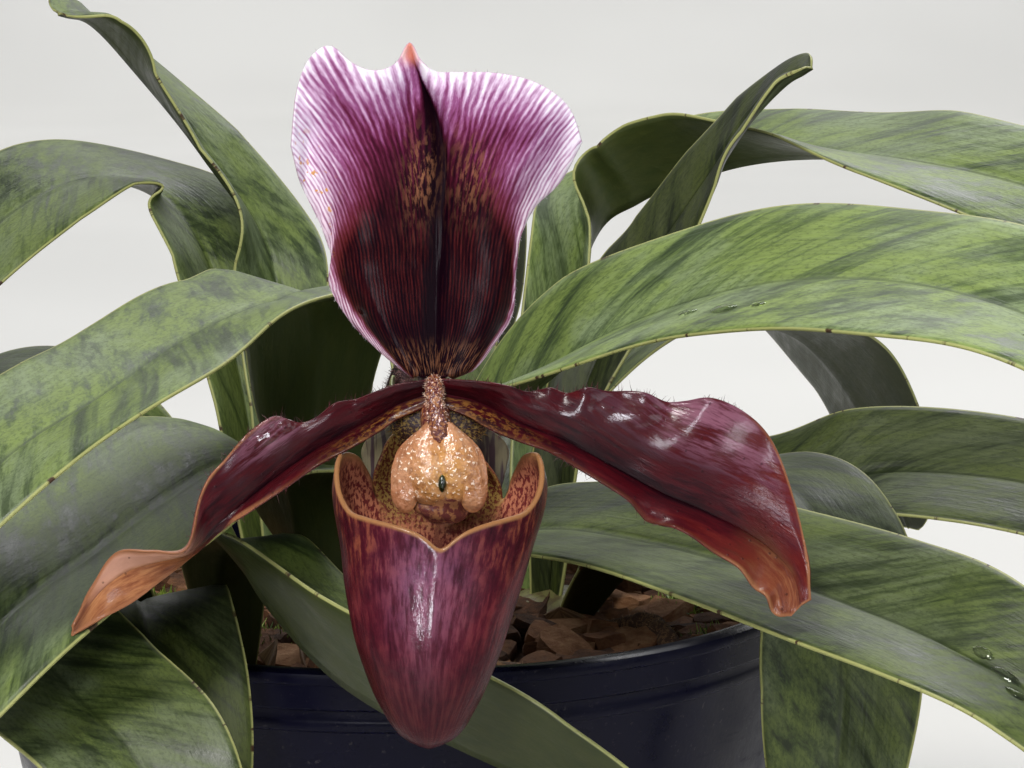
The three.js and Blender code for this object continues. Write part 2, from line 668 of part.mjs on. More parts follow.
function columnSolid() {
  const shield = (u, v) => {
    const half = profile(COLUMN.shieldHalf, u);
    const reach = COLUMN.shieldHeight * profile(COLUMN.shieldFoot, Math.abs(v));
    const y = -3 - 1.9 * (1 - v * v) + 1.2 * (1 - u) ** 2;
    return new THREE.Vector3(COLUMN.centre + v * half, y, COLUMN.shieldTop - u * reach);
  };
  const [first, bend] = COLUMN.route;
  const foot = COLUMN.route[COLUMN.route.length - 1];
  return solidFrom(tube(COLUMN.route, COLUMN.radius, 8, 10))
    .add(solidFrom(blade(shield, 8, 8, COLUMN.shieldThickness)))
    .add(ball(COLUMN.knobRadius, [bend[0], bend[1] - 0.6, bend[2] + 0.2]))
    .add(ball(COLUMN.knobRadius, [first[0], first[1] - 1.2, first[2]]))
    .add(ball(COLUMN.stigmaRadius, foot, [1, 0.8, 0.7]));
}

function ovaryGeometry() {
  const path = curveThrough(OVARY.route);
  const sides = 3 * OVARY.ribs;
  const steps = 12;
  const frames = path.computeFrenetFrames(steps, false);
  const points = [];
  for (let i = 0; i <= steps; i += 1) {
    const t = i / steps;
    const swell = 0.78 + 0.22 * Math.sin(Math.PI * Math.min(1.2 * t + 0.15, 1));
    for (let k = 0; k < sides; k += 1) {
      const angle = (2 * Math.PI * k) / sides;
      const radius = OVARY.radius * swell + OVARY.ribHeight * Math.cos(OVARY.ribs * angle);
      points.push(path.getPoint(t)
        .addScaledVector(frames.normals[i], radius * Math.cos(angle))
        .addScaledVector(frames.binormals[i], radius * Math.sin(angle)));
    }
  }
  const start = points.push(path.getPoint(0)) - 1;
  const end = points.push(path.getPoint(1)) - 1;
  const triangles = [];
  const at = (i, k) => i * sides + (k % sides);
  for (let k = 0; k < sides; k += 1) {
    for (let i = 0; i < steps; i += 1) {
      triangles.push(at(i, k), at(i, k + 1), at(i + 1, k + 1), at(i, k), at(i + 1, k + 1), at(i + 1, k));
    }
    triangles.push(start, at(0, k + 1), at(0, k));
    triangles.push(end, at(steps, k), at(steps, k + 1));
  }
  return geometryFrom(points, triangles);
}

// The bract clasps the end of the stem from below and reaches along the ovary.
function bractSurface(u, v) {
  const [foot] = OVARY.route.slice(-1);
  const angle = THREE.MathUtils.degToRad(BRACT.wrap * v * (1 - 0.75 * u ** 1.5));
  const radius = BRACT.radius + OVARY.ribHeight + GAP + BRACT.flare * (0.25 + u * 0.75);
  const narrowing = Math.sqrt(Math.max(1 - u ** 3, 0.02));
  return new THREE.Vector3(
    foot[0] + radius * Math.sin(angle) * narrowing + 0.09 * BRACT.length * u,
    foot[1] + 3 - BRACT.length * u,
    foot[2] + 0.6 - radius * Math.cos(angle) + 0.6 * u,
  );
}

// The whole plant

const plant = new THREE.Group();

const green = colour(0x6f8a3a, 0.45);
const rhizome = rhizomeSolid();
const clearance = rhizomeSolid(GAP);
addPiece(plant, 'pot', geometryOf(potSolid()), colour(0x17182a, 0.35));
addPiece(plant, 'bark_mix', geometryOf(barkSolid(clearance)), colour(0x5b3a22, 0.9));
addPiece(plant, 'rhizome_and_roots', geometryOf(rhizome), colour(0x9a9a6a, 0.7));
for (const leaf of LEAVES) {
  const solid = solidFrom(blade(leafSurface(leaf), LEAF_ROWS, LEAF_COLUMNS, LEAF_THICKNESS));
  addPiece(plant, leaf.name, geometryOf(solid.subtract(clearance)), green);
}
const stem = solidFrom(tube(STEM.route, STEM.radius, 8, 20));
addPiece(plant, 'flower_stem', geometryOf(stem.subtract(clearance)), colour(0x4a2a34, 0.7));

const bloom = new THREE.Group();
bloom.position.set(...BLOOM_CENTRE);
bloom.rotation.x = -THREE.MathUtils.degToRad(BLOOM_TILT);
plant.add(bloom);
addPiece(bloom, 'dorsal_sepal', blade(dorsalSurface, 12, 16, PETAL_THICKNESS), colour(0x9c5c92, 0.4));
addPiece(bloom, 'petal_right', blade(petalSurface(PETAL_RIGHT), 20, 6, PETAL_THICKNESS), colour(0x6a1f2c, 0.35));
addPiece(bloom, 'petal_left', blade(petalSurface(PETAL_LEFT), 22, 6, PETAL_THICKNESS), colour(0x6a1f2c, 0.35));
addPiece(bloom, 'synsepal', blade(synsepalSurface, 12, 6, PETAL_THICKNESS), colour(0x8f9a5c, 0.5));
addPiece(bloom, 'pouch', pouchGeometry(), colour(0x7a2a3c, 0.3));
addPiece(bloom, 'column', geometryOf(columnSolid()), colour(0xc89a4a, 0.4));
addPiece(bloom, 'ovary', ovaryGeometry(), colour(0x5a4a30, 0.7));
addPiece(bloom, 'bract', blade(bractSurface, 8, 8, BRACT.thickness), colour(0x7d8a4a, 0.6));

export default plant;
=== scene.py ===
"""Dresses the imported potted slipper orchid: bloom, hairs, leaves, bark, moss and pot.

Sizes are in millimetres in the same frames as the part: the plant's own frame, and the
bloom's frame, with x to the viewer's right, y away from the viewer and z up.
"""

import logging
import math
from dataclasses import dataclass
from enum import Enum
from typing import Callable, Sequence

import bpy
import numpy as np
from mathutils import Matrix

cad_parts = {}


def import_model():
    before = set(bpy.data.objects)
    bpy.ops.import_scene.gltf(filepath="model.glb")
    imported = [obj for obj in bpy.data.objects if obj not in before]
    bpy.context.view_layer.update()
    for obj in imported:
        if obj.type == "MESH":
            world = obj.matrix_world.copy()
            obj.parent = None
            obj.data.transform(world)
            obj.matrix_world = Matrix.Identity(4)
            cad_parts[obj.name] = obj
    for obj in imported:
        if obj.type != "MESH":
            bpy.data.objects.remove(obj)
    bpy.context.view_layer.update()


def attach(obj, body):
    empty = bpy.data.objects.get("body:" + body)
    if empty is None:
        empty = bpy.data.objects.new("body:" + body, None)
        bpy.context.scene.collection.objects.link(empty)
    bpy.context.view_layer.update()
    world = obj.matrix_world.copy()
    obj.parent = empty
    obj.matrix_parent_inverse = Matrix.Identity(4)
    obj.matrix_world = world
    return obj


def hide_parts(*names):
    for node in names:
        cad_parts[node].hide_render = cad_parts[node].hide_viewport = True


MM = 0.001
BODY = "root"
BLOOM_CENTRE = np.array([10.0, -130.0, 178.0])
BLOOM_TILT = math.radians(10)
LOG = logging.getLogger("orchid")

Array = np.ndarray
Piece = bpy.types.Object
Finish = bpy.types.Material
Output = bpy.types.NodeSocket
Colour = tuple[float, float, float, float]
Knots = Sequence[Sequence[float]]
Surface = Callable[[Array, Array], Array]
Marks = dict[str, Array]
Feed = Output | float | Sequence[float]


# Numbers and curves


def shade(red: float, green: float, blue: float) -> Colour:
    """Turns a screen colour of 0 to 255 into the linear colour that nodes take.

    Args:
        red: from 0 to 255.
        green: from 0 to 255.
        blue: from 0 to 255.

    Returns:
        The colour.
    """
    parts = [c / 255 for c in (red, green, blue)]
    flat = [c / 12.92 if c <= 0.04045 else ((c + 0.055) / 1.055) ** 2.4 for c in parts]
    return (flat[0], flat[1], flat[2], 1.0)


def hermite(a: Array, b: Array, slope_a: Array, slope_b: Array, w: Array) -> Array:
    """Blends from a to b with the given end slopes, for w from 0 to 1.

    Args:
        a: the values at the start.
        b: the values at the end.
        slope_a: the slopes at the start.
        slope_b: the slopes at the end.
        w: how far along each one is.

    Returns:
        The values in between.
    """
    cube = (2 * a - 2 * b + slope_a + slope_b) * w**3
    square = (-3 * a + 3 * b - 2 * slope_a - slope_b) * w**2
    return cube + square + slope_a * w + a


def along(values: Knots, t: Array) -> Array:
    """Follows a smooth curve through evenly spaced values or points.

    Args:
        values: numbers, or rows of coordinates.
        t: places from 0 to 1.

    Returns:
        One value or row for each place.
    """
    rows = np.asarray(values, float)
    padded = np.concatenate([[2 * rows[0] - rows[1]], rows, [2 * rows[-1] - rows[-2]]])
    last = len(rows) - 1
    place = np.clip(np.asarray(t, float), 0, 1) * last
    i = np.minimum(place.astype(int), last - 1)
    w = place - i
    if rows.ndim > 1:
        w = w[..., None]
    before, a, b, after = (padded[i + k] for k in range(4))
    return hermite(a, b, (b - before) / 2, (after - a) / 2, w)


def profile(knots: Knots, x: Array) -> Array:
    """Follows a smooth curve through [x, value] knots.

    Args:
        knots: the knots, from left to right.
        x: where to read the curve.

    Returns:
        One value for each x.
    """
    xs, ys = np.asarray(knots, float).T
    last = len(xs) - 1
    low = np.maximum(np.arange(last + 1) - 1, 0)
    high = np.minimum(np.arange(last + 1) + 1, last)
    slopes = (ys[high] - ys[low]) / (xs[high] - xs[low])
    at = np.clip(np.asarray(x, float), xs[0], xs[-1])
    i = np.clip(np.searchsorted(xs, at, side="left") - 1, 0, last - 1)
    width = xs[i + 1] - xs[i]
    return hermite(ys[i], ys[i + 1], slopes[i] * width, slopes[i + 1] * width, (at - xs[i]) / width)


def smooth_step(low: float, high: float, x: Array) -> Array:
    """Rises smoothly from 0 at low to 1 at high."""
    w = np.clip((np.asarray(x, float) - low) / (high - low), 0, 1)
    return w * w * (3 - 2 * w)


def hump(x: Array, middle: float, width: float) -> Array:
    """A soft bump of height 1 around middle."""
    return np.exp(-(((x - middle) / width) ** 2))


def rounded_ends(t: Array, share: float) -> Array:
    """Closes a body roundly at both ends, over the given share of its half length."""
    past = np.clip(np.abs(2 * t - 1) - (1 - share), 0, 1)
    return np.sqrt(np.clip(1 - past**2 / share**2, 0, 1))


def ripple(points: Array, size: float, seed: int, waves: int = 7) -> Array:
    """Soft random relief, mostly between -1 and 1.

    Args:
        points: rows of coordinates.
        size: about the width of one swell, in the points' units.
        seed: fixes the pattern.
        waves: how many crossing waves are added up.

    Returns:
        One height for each point.
    """
    draw = np.random.default_rng(seed)
    total = np.zeros(len(points))
    for _ in range(waves):
        direction = draw.normal(size=points.shape[1])
        direction /= np.linalg.norm(direction)
        turns = points @ direction / size * draw.uniform(0.35, 0.8)
        total += np.sin(2 * math.pi * (turns + draw.random()))
    return total * math.sqrt(2 / waves) / 1.6


def unit(rows: Array) -> Array:
    """Scales each row to length 1."""
    return rows / np.maximum(np.linalg.norm(rows, axis=-1, keepdims=True), 1e-12)


def normals_of(surface: Surface, u: Array, v: Array) -> Array:
    """The unit normals of surface(u, v), on the side that the part's blades call upper.

    Args:
        surface: the skin, as a function of u and v.
        u: places along it.
        v: places across it.

    Returns:
        A row for each place.
    """
    step = 0.004
    du = surface(np.minimum(u + step, 1), v) - surface(np.maximum(u - step, 0), v)
    dv = surface(u, np.minimum(v + step, 1)) - surface(u, np.maximum(v - step, -1))
    return unit(np.cross(du, dv))


def towards_light(points: Array, spots: Sequence[Sequence[float]]) -> Array:
    """Turns small places of a skin in the bloom to where they mirror the front light.

    Args:
        points: the skin's points.
        spots: for each place its x, y and z, and how wide and how tall it is.

    Returns:
        The changed points.
    """
    x, y, z = points.T
    for at_x, at_y, at_z, wide, tall in spots:
        near = np.exp(-((((x - at_x) / wide) ** 2 + ((z - at_z) / tall) ** 2) ** 2))
        y = y + 0.88 * near * (at_y - 0.06 * (x - at_x) + 0.1 * (z - at_z) - y)
    return np.stack([x, y, z], axis=1)


def painted_spots(points: Array, spots: Sequence[Sequence[float]], spread: float = 1) -> Array:
    """Marks the small places that towards_light turns, so that a finish can wet them.

    Args:
        points: the skin's points.
        spots: the places, as towards_light takes them.
        spread: how much wider than its place a mark is.

    Returns:
        A value from 0 to 1 for each point.
    """
    x, _, z = points.T
    mask = np.zeros(len(points))
    for at_x, _, at_z, wide, tall in spots:
        near = np.exp(-(((x - at_x) / wide / spread) ** 2 + ((z - at_z) / tall / spread) ** 2))
        mask = np.maximum(mask, near)
    return mask


def bloom_to_plant(points: Array) -> Array:
    """Takes rows of the bloom's coordinates to the plant's.

    Args:
        points: rows in the bloom's frame.

    Returns:
        Rows in the plant's frame.
    """
    cos, sin = math.cos(BLOOM_TILT), math.sin(BLOOM_TILT)
    x, y, z = points.T
    return np.stack([x, y * cos + z * sin, z * cos - y * sin], axis=1) + BLOOM_CENTRE


def turned_to_plant(vectors: Array) -> Array:
    """Takes rows of directions in the bloom's frame to the plant's."""
    return bloom_to_plant(vectors) - BLOOM_CENTRE


def route_frames(route: Knots, samples: int) -> tuple[Array, Array, Array]:
    """Points on a smooth route, with two side directions that don't twist.

    Args:
        route: points on the route, in order.
        samples: how many points to give.

    Returns:
        The points, and the two directions at each.
    """
    points = along(route, np.linspace(0, 1, samples))
    tangents = unit(np.gradient(points, axis=0))
    side = np.array([1.0, 0.0, 0.0]) if abs(tangents[0][0]) < 0.8 else np.array([0.0, 1.0, 0.0])
    sides = []
    for tangent in tangents:
        side = unit(side - tangent * (side @ tangent))
        sides.append(side)
    rows = np.array(sides)
    return points, rows, np.cross(tangents, rows)


# Modelling


class Side(Enum):
    """Which way a petal reaches, seen by the viewer."""

    LEFT = -1
    RIGHT = 1


def deselect_all() -> None:
    """Leaves nothing selected, in object mode."""
    if bpy.context.object and bpy.context.object.mode != "OBJECT":
        bpy.ops.object.mode_set(mode="OBJECT")
    bpy.ops.object.select_all(action="DESELECT")


def select_only(piece: Piece) -> None:
    """Selects one piece and makes it the active one.

    Args:
        piece: the piece.
    """
    deselect_all()
    piece.select_set(True)
    bpy.context.view_layer.objects.active = piece


def named(name: str) -> Piece:
    """Names the primitive that was just added, and its mesh.

    Args:
        name: the piece's name.

    Returns:
        The piece.
    """
    piece = bpy.context.active_object
    piece.name = name
    piece.data.name = name
    return piece


def coordinates(piece: Piece) -> Array:
    """The piece's vertices as rows.

    Args:
        piece: the piece.

    Returns:
        Rows in metres.
    """
    flat = np.empty(len(piece.data.vertices) * 3)
    piece.data.vertices.foreach_get("co", flat)
    return flat.reshape(-1, 3)


def put_vertices(piece: Piece, rows: Array) -> None:
    """Moves the piece's vertices."""
    piece.data.vertices.foreach_set("co", np.asarray(rows, float).ravel())
    piece.data.update()


def put_marks(piece: Piece, marks: Marks) -> None:
    """Writes named values or vectors on the vertices, for the finishes to read.

    Args:
        piece: the piece.
        marks: the values by name, one for each vertex.
    """
    for name, values in marks.items():
        kind, field_name = ("FLOAT", "value") if values.ndim == 1 else ("FLOAT_VECTOR", "vector")
        attribute = piece.data.attributes.new(name, kind, "POINT")
        attribute.data.foreach_set(field_name, np.asarray(values, np.float32).ravel())


def smooth_shading(piece: Piece, angle: float = 180) -> None:
    """Shades the piece smoothly, apart from edges sharper than the angle in degrees.

    Args:
        piece: the piece.
        angle: the limit in degrees.
    """
    select_only(piece)
    if angle >= 180:
        bpy.ops.object.shade_smooth()
    else:
        bpy.ops.object.shade_smooth_by_angle(angle=math.radians(angle))


def apply_modifier(piece: Piece, name: str) -> None:
    """Makes one modifier part of the mesh."""
    bpy.context.view_layer.objects.active = piece
    bpy.ops.object.modifier_apply(modifier=name)


def thickness_weights(piece: Piece, weights: Array) -> None:
    """Writes vertex weights from 0 to 1, in sixteen steps, for the wall's thickness.

    Args:
        piece: the piece.
        weights: one weight for each vertex.
    """
    group = piece.vertex_groups.new(name="thick")
    steps = np.round(np.clip(weights, 0, 1) * 16).astype(int)
    for step in range(17):
        chosen = np.flatnonzero(steps == step)
        if len(chosen):
            group.add(chosen.tolist(), step / 16, "REPLACE")


def mesh_piece(name: str, points: Array, faces: Array) -> Piece:
    """A new piece from rows of points in millimetres and rows of corner numbers.

    Args:
        name: the piece's name.
        points: the points.
        faces: the corners of each face.

    Returns:
        The new piece.
    """
    mesh = bpy.data.meshes.new(name)
    mesh.from_pydata((points * MM).tolist(), [], faces.tolist())
    piece = bpy.data.objects.new(name, mesh)
    bpy.context.scene.collection.objects.link(piece)
    return piece


def bend_grid(
    name: str, surface: Surface, rows: int, columns: int, in_bloom: bool
) -> tuple[Piece, Array, Array, Array]:
    """Adds a grid and bends it to a surface.

    Args:
        name: the piece's name.
        surface: the skin, as a function of u and v.
        rows: how many steps along.
        columns: how many steps across.
        in_bloom: whether the surface is in the bloom's frame.

    Returns:
        The piece, its u and v, and its points.
    """
    deselect_all()
    bpy.ops.mesh.primitive_grid_add(x_subdivisions=rows, y_subdivisions=columns, size=2)
    piece = named(name)
    flat = coordinates(piece)
    u, v = (flat[:, 0] + 1) / 2, flat[:, 1]
    points = surface(u, v)
    put_vertices(piece, (bloom_to_plant(points) if in_bloom else points) * MM)
    return piece, u, v, points


@dataclass
class Sheet:
    """A thin blade on surface(u, v), with u from 0 to 1 along it and v from -1 to 1 across.

    The sheet starts as a grid, which is bent to the surface and then given its flesh.
    """

    name: str
    surface: Surface
    rows: int
    columns: int
    thickness: float
    edge_share: float = 0.4
    edge_width: float = 0.2
    marks: Callable[[Array, Array, Array], Marks] | None = None
    in_bloom: bool = True
    faces: int = 1
    rolled: bool = False
    weights: Surface | None = None
    rounding: int = 0

    def middle_skin(self) -> Piece:
        """Bends the blade's middle skin, with its marks and thickness weights.

        Returns:
            The open skin.
        """
        piece, u, v, points = bend_grid(self.name, self.surface, self.rows, self.columns, self.in_bloom)
        if self.marks:
            put_marks(piece, self.marks(u, v, points))
        edge = np.minimum(1 - np.abs(v), 2 * (1 - u))
        thickness_weights(
            piece, self.weights(u, v) if self.weights else smooth_step(0, self.edge_width, edge)
        )
        if self.rolled:
            close_seams(piece, False)
        return piece

    def build(self) -> Piece:
        """Makes the closed blade, with the mark "upper" at 1 on its upper face.

        The upper face is the one that the grid's own normals point from, or the other
        one where faces is -1.

        Returns:
            The finished piece.
        """
        piece = self.middle_skin()
        skin = coordinates(piece)
        count = len(skin)
        normals = np.empty(count * 3, np.float32)
        piece.data.vertex_normals.foreach_get("vector", normals)
        flesh = piece.modifiers.new("Flesh", "SOLIDIFY")
        flesh.thickness = self.thickness * MM
        flesh.offset = 0
        flesh.vertex_group = "thick"
        flesh.thickness_vertex_group = self.edge_share
        apply_modifier(piece, "Flesh")
        moved = coordinates(piece)[:count] - skin
        outer_first = float((moved * normals.reshape(-1, 3)).sum()) * self.faces > 0
        upper = np.zeros(len(piece.data.vertices))
        upper[:count] = 1
        put_marks(piece, {"upper": upper if outer_first else 1 - upper})
        if self.rounding:
            curve = piece.modifiers.new("Rounding", "SUBSURF")
            curve.levels = self.rounding
            curve.render_levels = self.rounding
            apply_modifier(piece, "Rounding")
        smooth_shading(piece)
        return piece


@dataclass
class Tube:
    """A closed round body along a route, with radius(t, angle) in millimetres."""

    name: str
    route: Knots
    radius: Callable[[Array, Array], Array]
    rows: int = 60
    columns: int = 24
    in_bloom: bool = False

    def surface(self, u: Array, v: Array) -> Array:
        """The body's skin, for v from -1 to 1 once around.

        Args:
            u: places along it, from 0 to 1.
            v: places across it, from -1 to 1.

        Returns:
            A point for each place.
        """
        samples = 240
        points, sides, others = route_frames(self.route, samples + 1)
        place = np.clip(u, 0, 1) * samples
        i = np.minimum(place.astype(int), samples - 1)
        w = (place - i)[:, None]
        centre, side, other = (rows[i] * (1 - w) + rows[i + 1] * w for rows in (points, sides, others))
        angle = (v * math.pi)[:, None]
        reach = self.radius(u, v * math.pi)[:, None]
        return centre + reach * (np.cos(angle) * side + np.sin(angle) * other)

    def build(self) -> Piece:
        """Rolls a grid up into the body and closes its seam and ends.

        Returns:
            The finished piece.
        """
        piece, u, v, _ = bend_grid(self.name, self.surface, self.rows, self.columns, self.in_bloom)
        length = np.linalg.norm(np.diff(along(self.route, np.linspace(0, 1, 60)), axis=0), axis=1).sum()
        blade = np.stack([u * length, np.cos(v * math.pi) * 3, np.sin(v * math.pi) * 3], axis=1) * MM
        put_marks(piece, {"blade": blade, "run": u})
        close_seams(piece)
        smooth_shading(piece)
        return piece

    def hairs(
        self, name: str, count: int, span: Sequence[float], spread: float, lengths: Sequence[float],
        radius: float, bend: float, seeds: Sequence[int],
    ) -> Piece:
        """Plants hairs on the body, pointing away from its route.

        Args:
            name: the piece's name.
            count: how many hairs.
            span: the first and last place along the route.
            spread: how unevenly they point.
            lengths: the shortest and longest hair.
            radius: the radius at the root.
            bend: how far a tip curls aside, over its length.
            seeds: fix the places and the curls.

        Returns:
            One piece that holds all the hairs.
        """
        draw = np.random.default_rng(seeds[0])
        t, v = draw.uniform(*span, count), draw.uniform(-1, 1, count)
        roots = self.surface(t, v)
        aims = unit(roots - along(self.route, t)) + draw.normal(scale=spread, size=roots.shape)
        reach = draw.uniform(*lengths, count)
        if self.in_bloom:
            roots, aims = bloom_to_plant(roots), turned_to_plant(aims)
        return plant_hairs(name, roots, aims, reach, radius, bend, seeds[1])


def close_seams(piece: Piece, face_outwards: bool = True) -> None:
    """Merges doubled vertices and, on a closed body, turns the faces outwards.

    Args:
        piece: the piece.
        face_outwards: whether the body is closed.
    """
    select_only(piece)
    bpy.ops.object.mode_set(mode="EDIT")
    bpy.ops.mesh.select_all(action="SELECT")
    bpy.ops.mesh.remove_doubles(threshold=1e-6)
    if face_outwards:
        bpy.ops.mesh.normals_make_consistent(inside=False)
    bpy.ops.object.mode_set(mode="OBJECT")


def turned(name: str, outline: Knots, segments: int) -> Piece:
    """Raises a disc into a turned body, ring by ring.

    Args:
        name: the piece's name.
        outline: [radius, height] of each ring, from the bottom disc to the last disc.
        segments: corners around.

    Returns:
        The closed body, with its place in its mesh.
    """
    deselect_all()
    radius, height = outline[0]
    bpy.ops.mesh.primitive_circle_add(
        vertices=segments, radius=radius * MM, fill_type="NGON", location=(0, 0, height * MM)
    )
    piece = named(name)
    bpy.ops.object.transform_apply(location=True, rotation=True, scale=True)
    bpy.ops.object.mode_set(mode="EDIT")
    bpy.ops.mesh.select_all(action="SELECT")
    for next_radius, next_height in outline[1:]:
        bpy.ops.mesh.extrude_region_move(
            TRANSFORM_OT_translate={"value": (0, 0, (next_height - height) * MM)}
        )
        share = next_radius / radius
        bpy.ops.transform.resize(value=(share, share, 1), center_override=(0, 0, next_height * MM))
        radius, height = next_radius, next_height
    bpy.ops.mesh.select_all(action="SELECT")
    bpy.ops.mesh.normals_make_consistent(inside=False)
    bpy.ops.object.mode_set(mode="OBJECT")
    return piece


@dataclass
class Shape:
    """A small mesh that is modelled once and copied many times: its points and faces."""

    points: Array
    faces: Array

    @classmethod
    def taken_from(cls, piece: Piece) -> "Shape":
        """Reads a piece as triangles, in metres, and removes it.

        Args:
            piece: the modelled piece.

        Returns:
            The shape.
        """
        piece.data.calc_loop_triangles()
        faces = np.array([t.vertices[:] for t in piece.data.loop_triangles])
        points = coordinates(piece)
        bpy.data.objects.remove(piece)
        return cls(points, faces)

    def copies(self, name: str, places: Array, axes: Array, extra: Array | None = None) -> Piece:
        """Copies the shape into one mesh.

        Args:
            name: the new piece's name.
            places: a row for each copy, in millimetres.
            axes: for each copy, three rows that its x, y and z axes become.
            extra: added to each copy's points, in millimetres.

        Returns:
            The joined piece, with the mark "pick" between 0 and 1 for each copy.
        """
        moved = places[:, None, :] + np.einsum("pk,nkc->npc", self.points, axes)
        if extra is not None:
            moved = moved + extra
        count, corners = len(places), len(self.points)
        faces = (self.faces[None] + corners * np.arange(count)[:, None, None]).reshape(-1, 3)
        piece = mesh_piece(name, moved.reshape(-1, 3), faces)
        picks = np.random.default_rng(5).random(count)
        put_marks(piece, {"pick": np.repeat(picks, corners)})
        return piece


def hair_shape() -> Shape:
    """One upright hair of length 1 and radius 1: a cone cut into three lengths.

    Returns:
        The hair.
    """
    deselect_all()
    bpy.ops.mesh.primitive_cone_add(vertices=4, radius1=1, radius2=0.12, depth=1, location=(0, 0, 0.5))
    piece = bpy.context.active_object
    bpy.ops.object.transform_apply(location=True, rotation=True, scale=True)
    bpy.ops.object.mode_set(mode="EDIT")
    for height in (0.4, 0.75):
        bpy.ops.mesh.select_all(action="SELECT")
        bpy.ops.mesh.bisect(plane_co=(0, 0, height), plane_no=(0, 0, 1))
    bpy.ops.object.mode_set(mode="OBJECT")
    return Shape.taken_from(piece)


def side_axes(directions: Array) -> tuple[Array, Array]:
    """Two unit directions across each given unit direction.

    Args:
        directions: rows of length 1.

    Returns:
        Two sets of rows.
    """
    guide = np.where(np.abs(directions[:, 2:3]) < 0.9, [[0.0, 0.0, 1.0]], [[1.0, 0.0, 0.0]])
    first = unit(np.cross(directions, guide))
    return first, np.cross(directions, first)


def plant_hairs(
    name: str, roots: Array, directions: Array, lengths: Array, radius: float, bend: float, seed: int
) -> Piece:
    """Copies one hair onto many roots, each with its own curl.

    Args:
        name: the piece's name.
        roots: where the hairs start, in the plant's frame, in millimetres.
        directions: which way each one points.
        lengths: how long each one is.
        radius: the radius at the root.
        bend: how far a tip curls aside, over its length.
        seed: fixes the curls.

    Returns:
        One piece that holds all the hairs.
    """
    shape = hair_shape()
    draw = np.random.default_rng(seed)
    aims = unit(directions)
    first, second = side_axes(aims)
    axes = np.stack([first * radius, second * radius, aims * lengths[:, None]], axis=1)
    curl = unit(draw.normal(size=aims.shape)) * (bend * lengths * draw.uniform(0.3, 1, len(lengths)))[:, None]
    rise = shape.points[:, 2] ** 2
    return shape.copies(name, roots, axes, rise[None, :, None] * curl[:, None, :])


def dress(piece: Piece, finish: Finish, nodes: Sequence[str] = ()) -> Piece:
    """Gives a piece its finish and body, and hides the part's nodes that it stands for.

    Args:
        piece: the piece.
        finish: the finish.
        nodes: the part's nodes that the piece stands for.

    Returns:
        The same piece.
    """
    piece.data.materials.clear()
    piece.data.materials.append(finish)
    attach(piece, BODY)
    if nodes:
        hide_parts(*nodes)
    LOG.info("%s: %d faces", piece.name, len(piece.data.polygons))
    return piece


# Finishes


